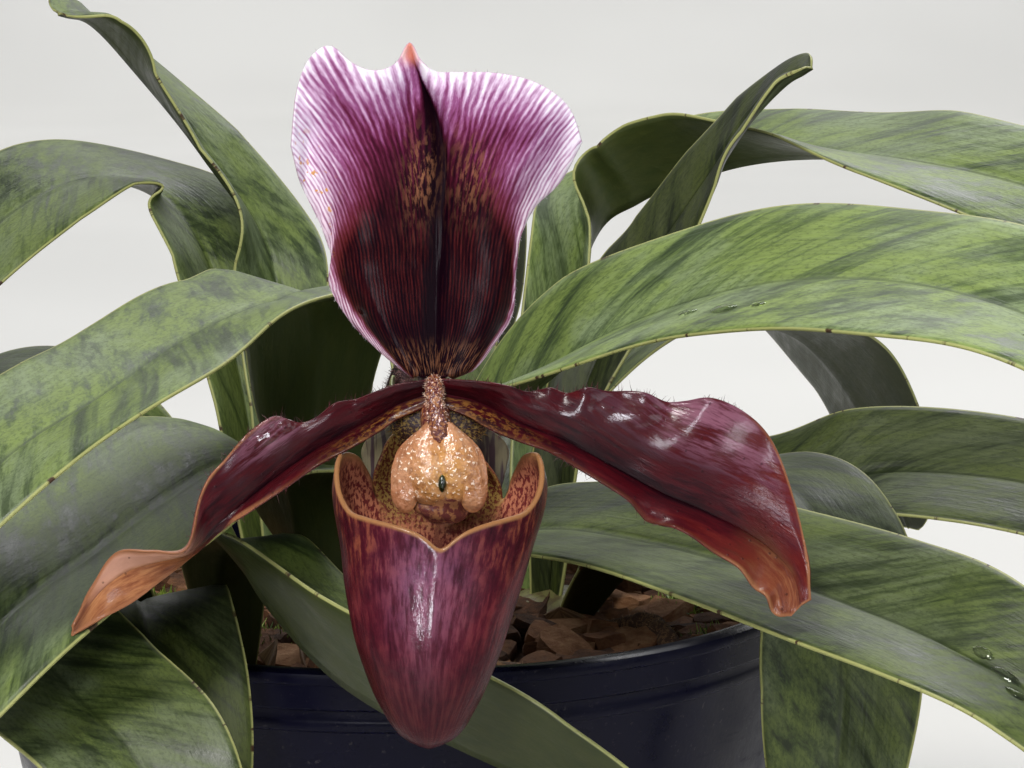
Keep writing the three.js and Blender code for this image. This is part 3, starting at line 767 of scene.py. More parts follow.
class Palette:
    """A pen for drawing a node material: each method adds a node and returns its output."""

    def __init__(self, name: str) -> None:
        """Starts an empty finish with one Principled shader.

        Args:
            name: the finish's name.
        """
        self.material = bpy.data.materials.new(name)
        self.material.use_nodes = True
        self.tree = self.material.node_tree
        self.shader = self.tree.nodes["Principled BSDF"]

    def add(self, kind: str, inputs: dict, **settings: object) -> bpy.types.Node:
        """Adds a node, sets its options, and feeds or links its inputs.

        Args:
            kind: the node's kind.
            inputs: values or outputs by input.
            settings: the node's options.

        Returns:
            The node.
        """
        node = self.tree.nodes.new(kind)
        for key, value in settings.items():
            setattr(node, key, value)
        for key, value in inputs.items():
            self.feed(node.inputs[key], value)
        return node

    def feed(self, socket: Output, value: Feed) -> None:
        """Links a socket to another, or sets its value.

        Args:
            socket: the input.
            value: an output to link, or a value to set.
        """
        if isinstance(value, Output):
            self.tree.links.new(value, socket)
        else:
            socket.default_value = value

    def place(self) -> Output:
        """The point's place in the plant's frame."""
        return self.add("ShaderNodeTexCoord", {}).outputs["Object"]

    def mark(self, name: str) -> Output:
        """A value that the modelling wrote on the piece."""
        return self.add("ShaderNodeAttribute", {}, attribute_name=name).outputs["Fac"]

    def mark_vector(self, name: str) -> Output:
        """A vector that the modelling wrote on the piece."""
        return self.add("ShaderNodeAttribute", {}, attribute_name=name).outputs["Vector"]

    def stretch(self, vector: Output, scale: tuple[float, float, float]) -> Output:
        """Scales a vector along its axes."""
        return self.add("ShaderNodeMapping", {"Vector": vector, "Scale": scale}).outputs[0]

    def noise(self, vector: Output, size: float, detail: float = 3, rough: float = 0.55) -> Output:
        """Cloudy noise whose swells are about size millimetres wide."""
        inputs = {"Vector": vector, "Scale": 1 / (size * MM), "Detail": detail, "Roughness": rough}
        return self.add("ShaderNodeTexNoise", inputs).outputs[0]

    def fibres(
        self, vector: Output, squeeze: float, size: float, detail: float = 3, rough: float = 0.55
    ) -> Output:
        """Noise drawn out along the first axis, the more the smaller squeeze is."""
        return self.noise(self.stretch(vector, (squeeze, 1, 1)), size, detail, rough)

    def cells(self, vector: Output, size: float) -> Output:
        """The distance to scattered points that are about size millimetres apart."""
        inputs = {"Vector": vector, "Scale": 1 / (size * MM)}
        return self.add("ShaderNodeTexVoronoi", inputs, feature="F1").outputs["Distance"]

    def math(self, operation: str, a: Feed, b: Feed = 0.0) -> Output:
        """One sum on numbers.

        Args:
            operation: which sum.
            a: the first value.
            b: the second value.

        Returns:
            The sum's output.
        """
        node = self.add("ShaderNodeMath", {}, operation=operation)
        self.feed(node.inputs[0], a)
        self.feed(node.inputs[1], b)
        return node.outputs[0]

    def times(self, a: Feed, b: Feed) -> Output:
        """The product of two numbers."""
        return self.math("MULTIPLY", a, b)

    def plus(self, a: Feed, b: Feed) -> Output:
        """The sum of two numbers."""
        return self.math("ADD", a, b)

    def rise(self, value: Feed, low: float, high: float, start: float = 0.0, end: float = 1.0) -> Output:
        """Goes smoothly from start to end while value goes from low to high."""
        inputs = {"Value": value, "From Min": low, "From Max": high, "To Min": start, "To Max": end}
        return self.add("ShaderNodeMapRange", inputs, interpolation_type="SMOOTHSTEP").outputs[0]

    def ramp(self, value: Feed, stops: Sequence[tuple[float, Colour]]) -> Output:
        """Turns a value into a colour by its stops.

        Args:
            value: the value.
            stops: positions and their colours.

        Returns:
            The colour's output.
        """
        node = self.add("ShaderNodeValToRGB", {"Fac": value})
        elements = node.color_ramp.elements
        while len(elements) < len(stops):
            elements.new(0.5)
        for element, (position, colour) in zip(elements, stops):
            element.position = position
            element.color = colour
        return node.outputs[0]

    def blend(self, share: Feed, a: Feed, b: Feed, mode: str = "MIX") -> Output:
        """Mixes colour b over colour a.

        Args:
            share: how much of b shows.
            a: the colour below.
            b: the colour above.
            mode: how b is laid over a.

        Returns:
            The mix's output.
        """
        node = self.add("ShaderNodeMix", {}, data_type="RGBA", blend_type=mode)
        for index, value in ((0, share), (6, a), (7, b)):
            self.feed(node.inputs[index], value)
        return node.outputs[2]

    def bump(
        self, height: Feed, depth: float, strength: float = 1.0, under: Output | None = None
    ) -> Output:
        """Relief of about depth millimetres, over an earlier relief if there is one.

        Args:
            height: the relief, from 0 to 1.
            depth: how deep it is, in millimetres.
            strength: how strongly it shades.
            under: the earlier relief.

        Returns:
            The normal's output.
        """
        inputs = {"Height": height, "Distance": depth * MM, "Strength": strength}
        if under is not None:
            inputs["Normal"] = under
        return self.add("ShaderNodeBump", inputs).outputs[0]

    def finish(self, **inputs: Feed) -> Finish:
        """Sets the shader's sockets, written with _ for a space, and returns the finish.

        Args:
            inputs: values or outputs by input.

        Returns:
            The finished material.
        """
        for key, value in inputs.items():
            self.feed(self.shader.inputs[key.replace("_", " ")], value)
        return self.material


@dataclass(frozen=True)
class LeafFinish:
    """A leathery strap leaf: mottled above, dull olive below, with a pale margin line, darkened leaf by leaf
    with painted shade.
    """

    name: str = "leaf_green"
    light: Colour = shade(122, 142, 66)
    middle: Colour = shade(92, 112, 50)
    dark: Colour = shade(44, 60, 26)
    grey: Colour = shade(132, 148, 112)
    # deep: the colour that painted shade multiplies in, leaf by leaf.
    deep: Colour = shade(118, 114, 88)
    under: Colour = shade(66, 74, 34)
    margin: Colour = shade(166, 168, 104)
    scar: Colour = shade(62, 42, 26)

    def material(self) -> Finish:
        """Draws the finish.

        Returns:
            The finished material.
        """
        pen = Palette(self.name)
        blade = pen.mark_vector("blade")
        edge, upper = pen.mark("edge"), pen.mark("upper")
        across, tone = pen.mark("across"), pen.mark("tone")
        marble = pen.mark_vector("marble")
        streak = pen.fibres(blade, 0.3, 2.2, 6, 0.65)
        patch = pen.fibres(marble, 0.4, 9, 5, 0.65)
        tiles = pen.noise(pen.stretch(marble, (0.35, 1.1, 1)), 2.6, 6, 0.7)
        mottle = pen.plus(pen.times(patch, 0.65), pen.times(tiles, 0.65))
        green = pen.ramp(mottle, [(0.54, self.dark), (0.62, self.middle), (0.7, self.light)])
        walls = pen.rise(pen.cells(pen.stretch(marble, (0.4, 1, 1)), 3.4), 0.3, 0.6)
        net = pen.times(walls, pen.rise(patch, 0.62, 0.42))
        green = pen.blend(pen.times(net, 0.4), green, self.dark)
        frost = pen.fibres(blade, 0.6, 15, 4, 0.6)
        bloom = pen.times(pen.rise(frost, 0.42, 0.66, 0.1, 0.8), pen.rise(tiles, 0.36, 0.62, 0.3, 1))
        green = pen.blend(bloom, green, self.grey)
        grit = pen.fibres(blade, 0.5, 0.55, 3, 0.7)
        green = pen.blend(pen.rise(grit, 0.46, 0.66, 0, 0.4), green, self.dark)
        fine = pen.fibres(blade, 0.02, 0.7, 2)
        green = pen.blend(pen.rise(fine, 0.42, 0.7, 0, 0.22), green, self.dark)
        midrib = pen.rise(pen.math("ABSOLUTE", across), 0.0001, 0.0007, 1, 0)
        green = pen.blend(pen.times(midrib, 0.5), green, self.dark)
        below = pen.blend(pen.rise(streak, 0.35, 0.7, 0, 0.5), self.under, self.dark)
        colour = pen.blend(upper, below, green)
        # Painted shade: each leaf is darkened by its tone, standing in for the shade it lies in.
        colour = pen.blend(tone, colour, self.deep, "MULTIPLY")
        rim = pen.rise(edge, 0.0001, 0.00045, 1, 0)
        colour = pen.blend(pen.times(rim, 0.8), colour, self.margin)
        nibble = pen.rise(pen.noise(pen.stretch(blade, (1, 0.2, 1)), 2.2, 3, 0.65), 0.6, 0.68)
        worn = pen.times(nibble, pen.rise(edge, 0.0002, 0.0007, 1, 0))
        colour = pen.blend(worn, colour, self.scar)
        ridges = pen.bump(fine, 0.12, 0.5)
        ridges = pen.bump(grit, 0.08, 0.6, ridges)
        swell = pen.bump(pen.fibres(blade, 0.4, 4, 3), 0.5, 0.4, ridges)
        gloss = pen.rise(mottle, 0.45, 0.75, 0.34, 0.52)
        return pen.finish(Base_Color=colour, Roughness=gloss, Normal=swell, Specular_IOR_Level=0.32)


@dataclass(frozen=True)
class DorsalFinish:
    """The upright sepal: white rim, purple stripes, wine base, and a near-black middle that is partly painted
    shade of the crease.
    """

    name: str = "dorsal_striped"

    def material(self) -> Finish:
        """Draws the finish.

        Returns:
            The finished material.
        """
        pen = Palette(self.name)
        blade, place = pen.mark_vector("blade"), pen.place()
        tone, low, upper = pen.mark("tone"), pen.mark("low"), pen.mark("upper")
        fan, gold = pen.mark("fan"), pen.mark("gold")
        wander = pen.times(pen.noise(place, 5, 4, 0.6), 7)
        lines = pen.math("SINE", pen.plus(pen.times(fan, 150), wander))
        breaks = pen.fibres(blade, 0.16, 0.8, 5, 0.72)
        stripe = pen.plus(pen.times(lines, 0.085), pen.times(breaks, 0.8))
        depth = pen.plus(tone, pen.math("SUBTRACT", stripe, 0.29))
        high_colours = pen.ramp(depth, [
            (0.08, shade(236, 230, 240)), (0.2, shade(204, 172, 202)), (0.36, shade(146, 84, 130)),
            (0.54, shade(98, 32, 64)), (0.72, shade(62, 14, 34)), (0.94, shade(22, 5, 15)),
        ])
        low_colours = pen.ramp(depth, [
            (0.06, shade(214, 190, 204)), (0.2, shade(148, 92, 120)), (0.42, shade(98, 42, 52)),
            (0.66, shade(74, 24, 24)), (0.84, shade(38, 8, 13)), (0.98, shade(14, 2, 9)),
        ])
        colour = pen.blend(low, high_colours, low_colours)
        fleck = pen.rise(pen.fibres(blade, 0.3, 0.75, 4, 0.65), 0.47, 0.6)
        colour = pen.blend(pen.times(fleck, gold), colour, shade(150, 100, 70))
        colour = pen.blend(pen.mark("tip"), colour, shade(204, 130, 112))
        spots = pen.rise(pen.noise(place, 1.3, 2), 0.62, 0.66)
        rusty = pen.times(spots, pen.mark("left_rim"))
        colour = pen.blend(rusty, colour, shade(196, 138, 60))
        back = pen.blend(pen.rise(depth, 0.1, 0.9), shade(196, 170, 186), shade(92, 44, 70))
        colour = pen.blend(upper, back, colour)
        ridges = pen.bump(lines, 0.03, 0.2)
        grain = pen.bump(pen.noise(blade, 0.5, 3), 0.06, 0.3, ridges)
        gloss = pen.rise(low, 0, 1, 0.5, 0.3)
        coat = pen.times(pen.mark("shine"), 0.9)
        return pen.finish(
            Base_Color=colour, Roughness=gloss, Normal=grain, Specular_IOR_Level=0.05, Coat_Weight=coat,
            Coat_Roughness=0.1, Subsurface_Weight=0.08, Subsurface_Radius=(0.002, 0.001, 0.001),
            Subsurface_Scale=0.5,
        )


@dataclass(frozen=True)
class PetalFinish:
    """A glossy wine petal with a gold-flecked lower band, a tan tip and a painted lilac sheen."""

    name: str = "petal_wine"

    def material(self) -> Finish:
        """Draws the finish.

        Returns:
            The finished material.
        """
        pen = Palette(self.name)
        blade, place = pen.mark_vector("blade"), pen.place()
        tone, ripe, gold = pen.mark("tone"), pen.mark("ripe"), pen.mark("gold")
        edge, upper = pen.mark("edge"), pen.mark("upper")
        veins = pen.fibres(blade, 0.14, 0.9, 5, 0.65)
        cloud = pen.fibres(blade, 0.5, 6, 4, 0.6)
        depth = pen.plus(tone, pen.times(pen.math("SUBTRACT", veins, 0.5), 0.9))
        depth = pen.plus(depth, pen.times(pen.math("SUBTRACT", cloud, 0.5), 0.35))
        wine = pen.ramp(depth, [
            (0.1, shade(116, 54, 36)), (0.36, shade(88, 24, 22)), (0.62, shade(64, 7, 15)),
            (0.95, shade(24, 2, 8)),
        ])
        tan = pen.ramp(pen.plus(pen.times(veins, 0.6), pen.times(cloud, 0.5)), [
            (0.4, shade(70, 32, 22)), (0.52, shade(122, 70, 42)), (0.68, shade(168, 114, 74)),
        ])
        tan = pen.blend(pen.mark("papery"), tan, shade(176, 132, 112))
        tan = pen.blend(pen.times(pen.mark("pinch"), 0.8), tan, shade(70, 36, 24))
        colour = pen.blend(ripe, wine, tan)
        # Painted sheen: lilac streaks blended into the colour stand in for a reflection of the sky.
        colour = pen.blend(
            pen.times(pen.mark("painted_lilac_sheen"), pen.rise(veins, 0.4, 0.62)), colour, shade(132, 84, 102)
        )
        fleck = pen.rise(pen.fibres(blade, 0.5, 0.42, 3, 0.6), 0.46, 0.6)
        colour = pen.blend(pen.times(fleck, gold), colour, shade(108, 70, 30))
        rim = pen.times(pen.rise(edge, 0.0001, 0.0006, 1, 0), pen.mark("rust"))
        colour = pen.blend(rim, colour, shade(140, 92, 62))
        back = pen.blend(pen.rise(veins, 0.3, 0.7), shade(112, 52, 50), shade(72, 26, 34))
        colour = pen.blend(upper, pen.blend(ripe, back, tan), colour)
        wart = pen.rise(pen.cells(place, 1.9), 0.06, 0.14, 1, 0)
        colour = pen.blend(pen.times(wart, 0.5), colour, shade(30, 6, 12))
        ridges = pen.bump(veins, 0.16, 0.6)
        fine = pen.fibres(blade, 0.4, 1.1, 4, 0.65)
        warty = pen.bump(wart, 0.1, 0.6, pen.bump(fine, 0.16, 0.7, ridges))
        skin = pen.bump(fine, 0.05, 0.8, pen.bump(veins, 0.08, 0.8))
        gloss = pen.rise(cloud, 0.3, 0.75, 0.28, 0.42)
        coat = pen.plus(pen.times(pen.mark("shine"), 0.88), 0.12)
        return pen.finish(
            Base_Color=colour, Roughness=gloss, Normal=warty, Specular_IOR_Level=0.12, Coat_Weight=coat,
            Coat_Roughness=0.07, Coat_Normal=skin,
        )


@dataclass(frozen=True)
class PouchFinish:
    """The slipper: glossy wine, brown veins by the tan rim, speckled inside, with a painted lilac sheen on
    its front and painted shade on its toe.
    """

    name: str = "pouch_wine"

    def material(self) -> Finish:
        """Draws the finish.

        Returns:
            The finished material.
        """
        pen = Palette(self.name)
        blade, place = pen.mark_vector("blade"), pen.place()
        edge, upper, throat = pen.mark("edge"), pen.mark("upper"), pen.mark("throat")
        veins = pen.fibres(blade, 0.22, 1.1, 5, 0.65)
        cloud = pen.noise(place, 6, 5, 0.65)
        near = pen.times(pen.rise(edge, 0.001, 0.013, 1, 0), pen.mark("sides"))
        deep = pen.plus(pen.times(veins, 0.55), pen.times(cloud, 0.5))
        base = pen.ramp(deep, [
            (0.38, shade(38, 4, 14)), (0.52, shade(68, 10, 24)), (0.7, shade(98, 30, 42)),
        ])
        brown = pen.rise(veins, 0.46, 0.58)
        streak = pen.times(brown, pen.rise(cloud, 0.36, 0.6))
        colour = pen.blend(pen.times(near, streak), base, shade(134, 76, 48))
        colour = pen.blend(pen.times(streak, 0.14), colour, shade(126, 62, 44))
        toe = pen.times(pen.mark("toe"), pen.rise(veins, 0.42, 0.62))
        # Painted shade: the downward-facing toe is painted darker.
        colour = pen.blend(pen.times(pen.mark("toe"), 0.6), colour, shade(44, 5, 16))
        colour = pen.blend(pen.times(toe, 0.2), colour, shade(84, 44, 36))
        # Painted sheen: a lilac haze on the front stands in for a soft lamp's reflection.
        painted_sheen_haze = pen.times(pen.mark("painted_sheen_haze"), pen.rise(veins, 0.36, 0.62, 0.1, 0.62))
        colour = pen.blend(painted_sheen_haze, colour, shade(132, 84, 114))
        dots = pen.rise(pen.fibres(blade, 0.6, 0.55, 3, 0.6), 0.45, 0.56)
        lining = pen.blend(dots, shade(168, 106, 80), shade(98, 38, 38))
        lining = pen.blend(pen.rise(edge, 0.0006, 0.0026, 0.85, 0), lining, shade(150, 98, 66))
        claw = pen.blend(
            pen.rise(pen.noise(place, 0.5, 3, 0.6), 0.45, 0.54), shade(146, 120, 64), shade(92, 44, 34)
        )
        lining = pen.blend(throat, lining, claw)
        colour = pen.blend(upper, lining, colour)
        rim = pen.times(pen.rise(edge, 0.0003, 0.0010, 1, 0), pen.rise(throat, 0.2, 0.8, 1, 0.1))
        colour = pen.blend(rim, colour, shade(146, 102, 64))
        ridges = pen.bump(veins, 0.14, 0.6)
        grit = pen.noise(place, 1.0, 4, 0.65)
        pebble = pen.bump(grit, 0.16, 0.7, ridges)
        skin = pen.bump(grit, 0.07, 0.9, pen.bump(veins, 0.05, 0.8))
        gloss = pen.rise(cloud, 0.3, 0.75, 0.28, 0.42)
        coat = pen.plus(pen.times(pen.mark("streak"), 0.85), 0.1)
        return pen.finish(
            Base_Color=colour, Roughness=gloss, Normal=pebble, Specular_IOR_Level=0.1, Coat_Weight=coat,
            Coat_Roughness=0.12, Coat_Normal=skin,
        )


@dataclass(frozen=True)
class ShieldFinish:
    """The column's warty, wet shield: tan sides around a gold middle, with painted highlight dots."""

    name: str = "shield_gold"

    def material(self) -> Finish:
        """Draws the finish.

        Returns:
            The finished material.
        """
        pen = Palette(self.name)
        place = pen.place()
        heart, edge = pen.mark("heart"), pen.mark("edge")
        grain = pen.noise(place, 0.9, 4, 0.65)
        body = pen.blend(heart, shade(180, 122, 88), shade(196, 140, 56))
        body = pen.blend(pen.rise(grain, 0.45, 0.62, 0, 0.6), body, shade(132, 76, 36))
        body = pen.blend(pen.rise(pen.noise(place, 3.5, 3), 0.45, 0.65, 0, 0.35), body, shade(206, 158, 120))
        colour = pen.blend(pen.rise(edge, 0.0001, 0.0007, 0.5, 0), body, shade(150, 92, 48))
        warts = pen.noise(place, 0.55, 2, 0.5)
        # Painted highlight: near-white dots on the wart tops stand in for glints on the wet middle.
        wet = pen.times(pen.rise(warts, 0.6, 0.66), pen.mark("wet"))
        colour = pen.blend(wet, colour, shade(255, 236, 212))
        relief = pen.bump(warts, 0.2, 0.8)
        relief = pen.bump(grain, 0.08, 0.5, relief)
        return pen.finish(
            Base_Color=colour, Roughness=0.3, Normal=relief, Specular_IOR_Level=0.5, Coat_Weight=1,
            Coat_Roughness=0.06, Coat_Normal=relief,
        )


@dataclass(frozen=True)
class SpeckledFinish:
    """Flesh of one colour with speckles of another, on knobs, stalks and sheaths, with painted glint dots
    where glint is set.
    """

    name: str
    ground: Colour
    speck: Colour
    size: float
    share: float = 0.5
    roughness: float = 0.4
    coat: float = 0.0
    # glint: how strongly pale painted highlight dots show.
    glint: float = 0.0

    def material(self) -> Finish:
        """Draws the finish.

        Returns:
            The finished material.
        """
        pen = Palette(self.name)
        place = pen.place()
        cloud = pen.noise(place, self.size, 4, 0.65)
        colour = pen.blend(pen.rise(cloud, self.share - 0.05, self.share + 0.04), self.ground, self.speck)
        broad = pen.noise(place, self.size * 6, 2)
        colour = pen.blend(pen.rise(broad, 0.4, 0.75, 0, 0.4), colour, self.speck)
        # Painted highlight: pale dots stand in for glints.
        painted_glint_dots = pen.rise(pen.noise(place, 0.4, 2), 0.62, 0.66, 0, self.glint)
        colour = pen.blend(painted_glint_dots, colour, shade(252, 224, 218))
        relief = pen.bump(cloud, 0.2, 0.6)
        return pen.finish(
            Base_Color=colour, Roughness=self.roughness, Normal=relief, Coat_Weight=self.coat,
            Coat_Roughness=0.1,
        )


@dataclass(frozen=True)
class StripedFinish:
    """Flesh with lines along its length, as on the joined sepals, ovary and bract."""

    name: str
    ground: Colour
    line: Colour
    size: float
    share: float = 0.5
    roughness: float = 0.5

    def material(self) -> Finish:
        """Draws the finish.

        Returns:
            The finished material.
        """
        pen = Palette(self.name)
        blade = pen.mark_vector("blade")
        lines = pen.fibres(blade, 0.06, self.size, 3, 0.5)
        cloud = pen.fibres(blade, 0.5, self.size * 3, 3)
        colour = pen.blend(pen.rise(lines, self.share - 0.06, self.share + 0.06), self.ground, self.line)
        colour = pen.blend(pen.rise(cloud, 0.45, 0.7, 0, 0.4), colour, self.line)
        relief = pen.bump(lines, 0.2, 0.6)
        return pen.finish(Base_Color=colour, Roughness=self.roughness, Normal=relief)


@dataclass(frozen=True)
class HairFinish:
    """Fine hairs, each a little lighter or darker than the next."""

    name: str
    dark: Colour
    light: Colour

    def material(self) -> Finish:
        """Draws the finish.

        Returns:
            The finished material.
        """
        pen = Palette(self.name)
        tint = pen.plus(pen.mark("pick"), pen.times(pen.noise(pen.place(), 0.8), 0.3))
        return pen.finish(Base_Color=pen.ramp(tint, [(0.2, self.dark), (1.0, self.light)]), Roughness=0.45)


@dataclass(frozen=True)
class PotFinish:
    """Moulded near-black blue plastic with dust and fine scuffs."""

    name: str = "pot_plastic"

    def material(self) -> Finish:
        """Draws the finish.

        Returns:
            The finished material.
        """
        pen = Palette(self.name)
        place = pen.place()
        dust = pen.noise(place, 18, 6, 0.65)
        speck = pen.rise(pen.noise(place, 1.2, 3, 0.7), 0.62, 0.72, 0, 0.35)
        colour = pen.blend(pen.rise(dust, 0.5, 0.8, 0, 0.1), shade(7, 7, 27), shade(50, 50, 72))
        colour = pen.blend(speck, colour, shade(80, 76, 76))
        scuff = pen.noise(pen.stretch(place, (0.15, 0.15, 1)), 1.4, 4, 0.7)
        gloss = pen.plus(pen.rise(dust, 0.35, 0.75, 0.24, 0.5), pen.rise(scuff, 0.55, 0.75, 0, 0.14))
        relief = pen.bump(pen.noise(place, 0.9, 3), 0.05, 0.4)
        relief = pen.bump(scuff, 0.06, 0.35, relief)
        return pen.finish(Base_Color=colour, Roughness=gloss, Normal=relief, Specular_IOR_Level=0.12)


@dataclass(frozen=True)
class BarkFinish:
    """Fir bark: layered browns, chip by chip."""

    name: str = "bark_brown"

    def material(self) -> Finish:
        """Draws the finish.

        Returns:
            The finished material.
        """
        pen = Palette(self.name)
        place, pick = pen.place(), pen.mark("pick")
        layers = pen.noise(pen.stretch(place, (1, 1, 3)), 3, 6, 0.7)
        tint = pen.plus(pen.times(pick, 0.45), pen.times(layers, 0.75))
        colour = pen.ramp(tint, [
            (0.25, shade(38, 24, 16)), (0.5, shade(84, 54, 34)), (0.72, shade(124, 84, 54)),
            (0.95, shade(158, 122, 88)),
        ])
        relief = pen.bump(layers, 0.9, 0.8)
        relief = pen.bump(pen.noise(place, 0.7, 4, 0.7), 0.3, 0.7, relief)
        return pen.finish(Base_Color=colour, Roughness=0.88, Normal=relief, Specular_IOR_Level=0.3)


@dataclass(frozen=True)
class WaterFinish:
    """Clear water standing on a leaf."""

    name: str = "water_clear"

    def material(self) -> Finish:
        """Draws the finish.

        Returns:
            The finished material.
        """
        pen = Palette(self.name)
        relief = pen.bump(pen.noise(pen.place(), 2.5, 2), 0.05, 0.4)
        return pen.finish(
            Base_Color=(0.96, 0.98, 0.97, 1), Roughness=0.03, Normal=relief, IOR=1.33, Transmission_Weight=1.0
        )


@dataclass(frozen=True)
class BackdropFinish:
    """The plain pale floor."""

    name: str = "backdrop_pale"

    def material(self) -> Finish:
        """Draws the finish.

        Returns:
            The finished material.
        """
        pen = Palette(self.name)
        cloud = pen.noise(pen.place(), 400, 2)
        colour = pen.blend(pen.rise(cloud, 0.3, 0.7), shade(222, 221, 217), shade(228, 227, 223))
        return pen.finish(Base_Color=colour, Roughness=0.9, Specular_IOR_Level=0.1)


# The bloom


@dataclass
class DorsalSepal:
    """The upright sepal, with its crease, its peaked tip and its rolled lower margins."""

    foot: float = 1.3
    side_top: float = 36
    left_half: Knots = (
        (0, 3.2), (0.8, 4.5), (4, 8.3), (9, 13), (14.3, 15.9), (18.5, 15.6), (24, 17.3), (30, 20), (36, 21.4),
    )
    right_half: Knots = (
        (0, 3.2), (1, 6), (5.3, 9.3), (8.3, 11.3), (11.3, 12.2), (16.5, 12.4), (21.8, 13.2), (26.5, 15.4),
        (30, 19), (36, 22.4),
    )
    top_edge: Knots = (
        (-1, 36), (-0.97, 43), (-0.91, 47.4), (-0.8, 50.2), (-0.7, 50.6), (-0.58, 48.4), (-0.46, 47.2),
        (-0.34, 47.3), (-0.25, 48.6), (-0.165, 51.5), (-0.1, 49), (0, 47.2), (0.12, 47), (0.38, 46.8),
        (0.64, 45.6), (0.83, 43.4), (0.94, 40.6), (1, 36.5),
    )
    depth: Knots = ((0, 3), (0.25, 5.2), (0.5, 6), (0.75, 4.4), (1, 0.6))
    cupping: Knots = ((0, 0.9), (0.2, 0), (0.55, -2), (0.8, -1.6), (1, 1.6))
    crease: Knots = (
        (0, 0.03), (0.3, 0.06), (0.45, 0.1), (0.6, 0.135), (0.72, 0.138), (0.79, 0.088), (0.87, 0.03),
        (0.935, -0.04), (1, -0.15),
    )
    crease_depth: Knots = ((0, 0.3), (0.3, 0.6), (0.6, 1), (0.8, 2), (0.92, 2.2), (1, 0.8))
    spread: Knots = (
        (0, 3.6), (5, 7.5), (10, 10.5), (16, 12), (22, 13), (28, 15), (34, 18.5), (40, 24), (47, 33),
        (52, 40),
    )
    left_fade: Knots = ((0, 0.8), (0.33, 1.2), (0.43, 3), (0.55, 7), (0.7, 11), (1, 13))
    right_fade: Knots = ((0, 0.8), (0.35, 0.8), (0.45, 1.6), (0.57, 5), (0.7, 10), (1, 13))
    shines: Sequence[Sequence[float]] = (
        (-11.1, 6.8, 10, 1, 1.3), (10.3, 7, 8.1, 0.8, 1.1), (11.4, 7.4, 10.9, 0.5, 0.7)
    )

    def half(self, u: Array, v: Array) -> Array:
        """Half the width on the side that v is on."""
        height = u * self.side_top
        return np.where(v < 0, profile(self.left_half, height), profile(self.right_half, height))

    def aside(self, u: Array, v: Array) -> Array:
        """How far a point is to the right of the crease."""
        return (v - profile(self.crease, u)) * self.half(u, v)

    def surface(self, u: Array, v: Array) -> Array:
        """The sepal's middle skin in the bloom's frame.

        Args:
            u: places along it, from 0 to 1.
            v: places across it, from -1 to 1.

        Returns:
            A point for each place.
        """
        half = self.half(u, v)
        z = self.foot + u * (profile(self.top_edge, v) - self.foot)
        y = profile(self.depth, u) + (0.35 + 0.65 * u) * profile(self.cupping, np.abs(v))
        aside = self.aside(u, v)
        fold = np.where(aside < 0, hump(aside, 0, 2.2), hump(aside, 0, 0.8))
        y = y + profile(self.crease_depth, u) * fold
        y = y - smooth_step(0.5, 0.9, u) * (1.1 * hump(aside, 2.1, 1.5) + 0.4 * hump(aside, -3.4, 1.8))
        low_roll = hump(u, 0.24, 0.12) * smooth_step(0.72, 1, np.abs(v))
        y = y + 1.8 * low_roll
        flutter = np.sin(u * 21 + v * 3) * 0.35 + np.sin(u * 47 + 1) * 0.15
        y = y + flutter * np.abs(v) ** 6 * smooth_step(0.2, 0.5, u)
        right_fold = hump(u, 0.78, 0.1) * smooth_step(0.8, 1, v)
        y = y + 2.2 * right_fold
        y = y + 0.14 * ripple(np.stack([v * half, z], axis=1), 5, 21)
        return towards_light(np.stack([v * half, y, z], axis=1), self.shines)

    def marks(self, u: Array, v: Array, points: Array) -> Marks:
        """Tone, partly painted shade along the crease, stripes and flecks for the finish.

        Args:
            u: places along it, from 0 to 1.
            v: places across it, from -1 to 1.
            points: the skin's points at those places.

        Returns:
            Values by name, for the finish.
        """
        x, _, z = points.T
        aside = self.aside(u, v)
        side_edge = (1 - np.abs(v)) * self.half(u, v)
        top_edge = (1 - u) * (profile(self.top_edge, v) - self.foot)
        edge = np.minimum(side_edge, top_edge * 0.9)
        height = z / 47
        fade = np.where(v < 0, profile(self.left_fade, height), profile(self.right_fade, height))
        ring = np.clip(edge / fade, 0, 1) ** 0.8 * smooth_step(0.1, 0.9, edge)
        body = 0.76 - 0.24 * smooth_step(0.5, 0.95, height) + 0.12 * smooth_step(14, 4, z)
        # The dark band along the crease, wider on its left and widening upward: partly the sepal's own dark
        # middle, partly painted shade of the concave crease.
        high = smooth_step(20, 32, z)
        left_reach = 3.2 + 2.2 * high - 2.6 * smooth_step(38, 47, z)
        right_reach = 2.2 - 1.5 * high
        left_band = smooth_step(-left_reach, -left_reach * 0.35, aside)
        middle = np.where(aside < 0, left_band, smooth_step(right_reach, 0, aside))
        middle = middle * smooth_step(0.3, 3, top_edge)
        tone = ring * body + middle * (1 - ring * body) * 0.92
        fan = x / profile(self.spread, z)
        streaks = hump(z, 32, 6) * (hump(aside, -4.6, 2.4) + 0.7 * hump(aside, 4, 3))
        base = smooth_step(8, 3, z) * 0.4
        gold = np.clip(streaks * 0.7 + base, 0, 1)
        tip = hump(x, -3.4, 1.7) * smooth_step(47.4, 49.6, z)
        left_rim = smooth_step(-0.84, -0.96, v) * hump(z, 30, 7)
        shine = painted_spots(points, self.shines)
        blade = np.stack([z, fan * 20, np.zeros(len(u))], axis=1) * MM
        return {
            "tone": tone, "low": smooth_step(0.84, 0.4, height), "fan": fan, "gold": gold, "tip": tip,
            "left_rim": left_rim, "shine": shine, "edge": edge * MM, "blade": blade,
        }

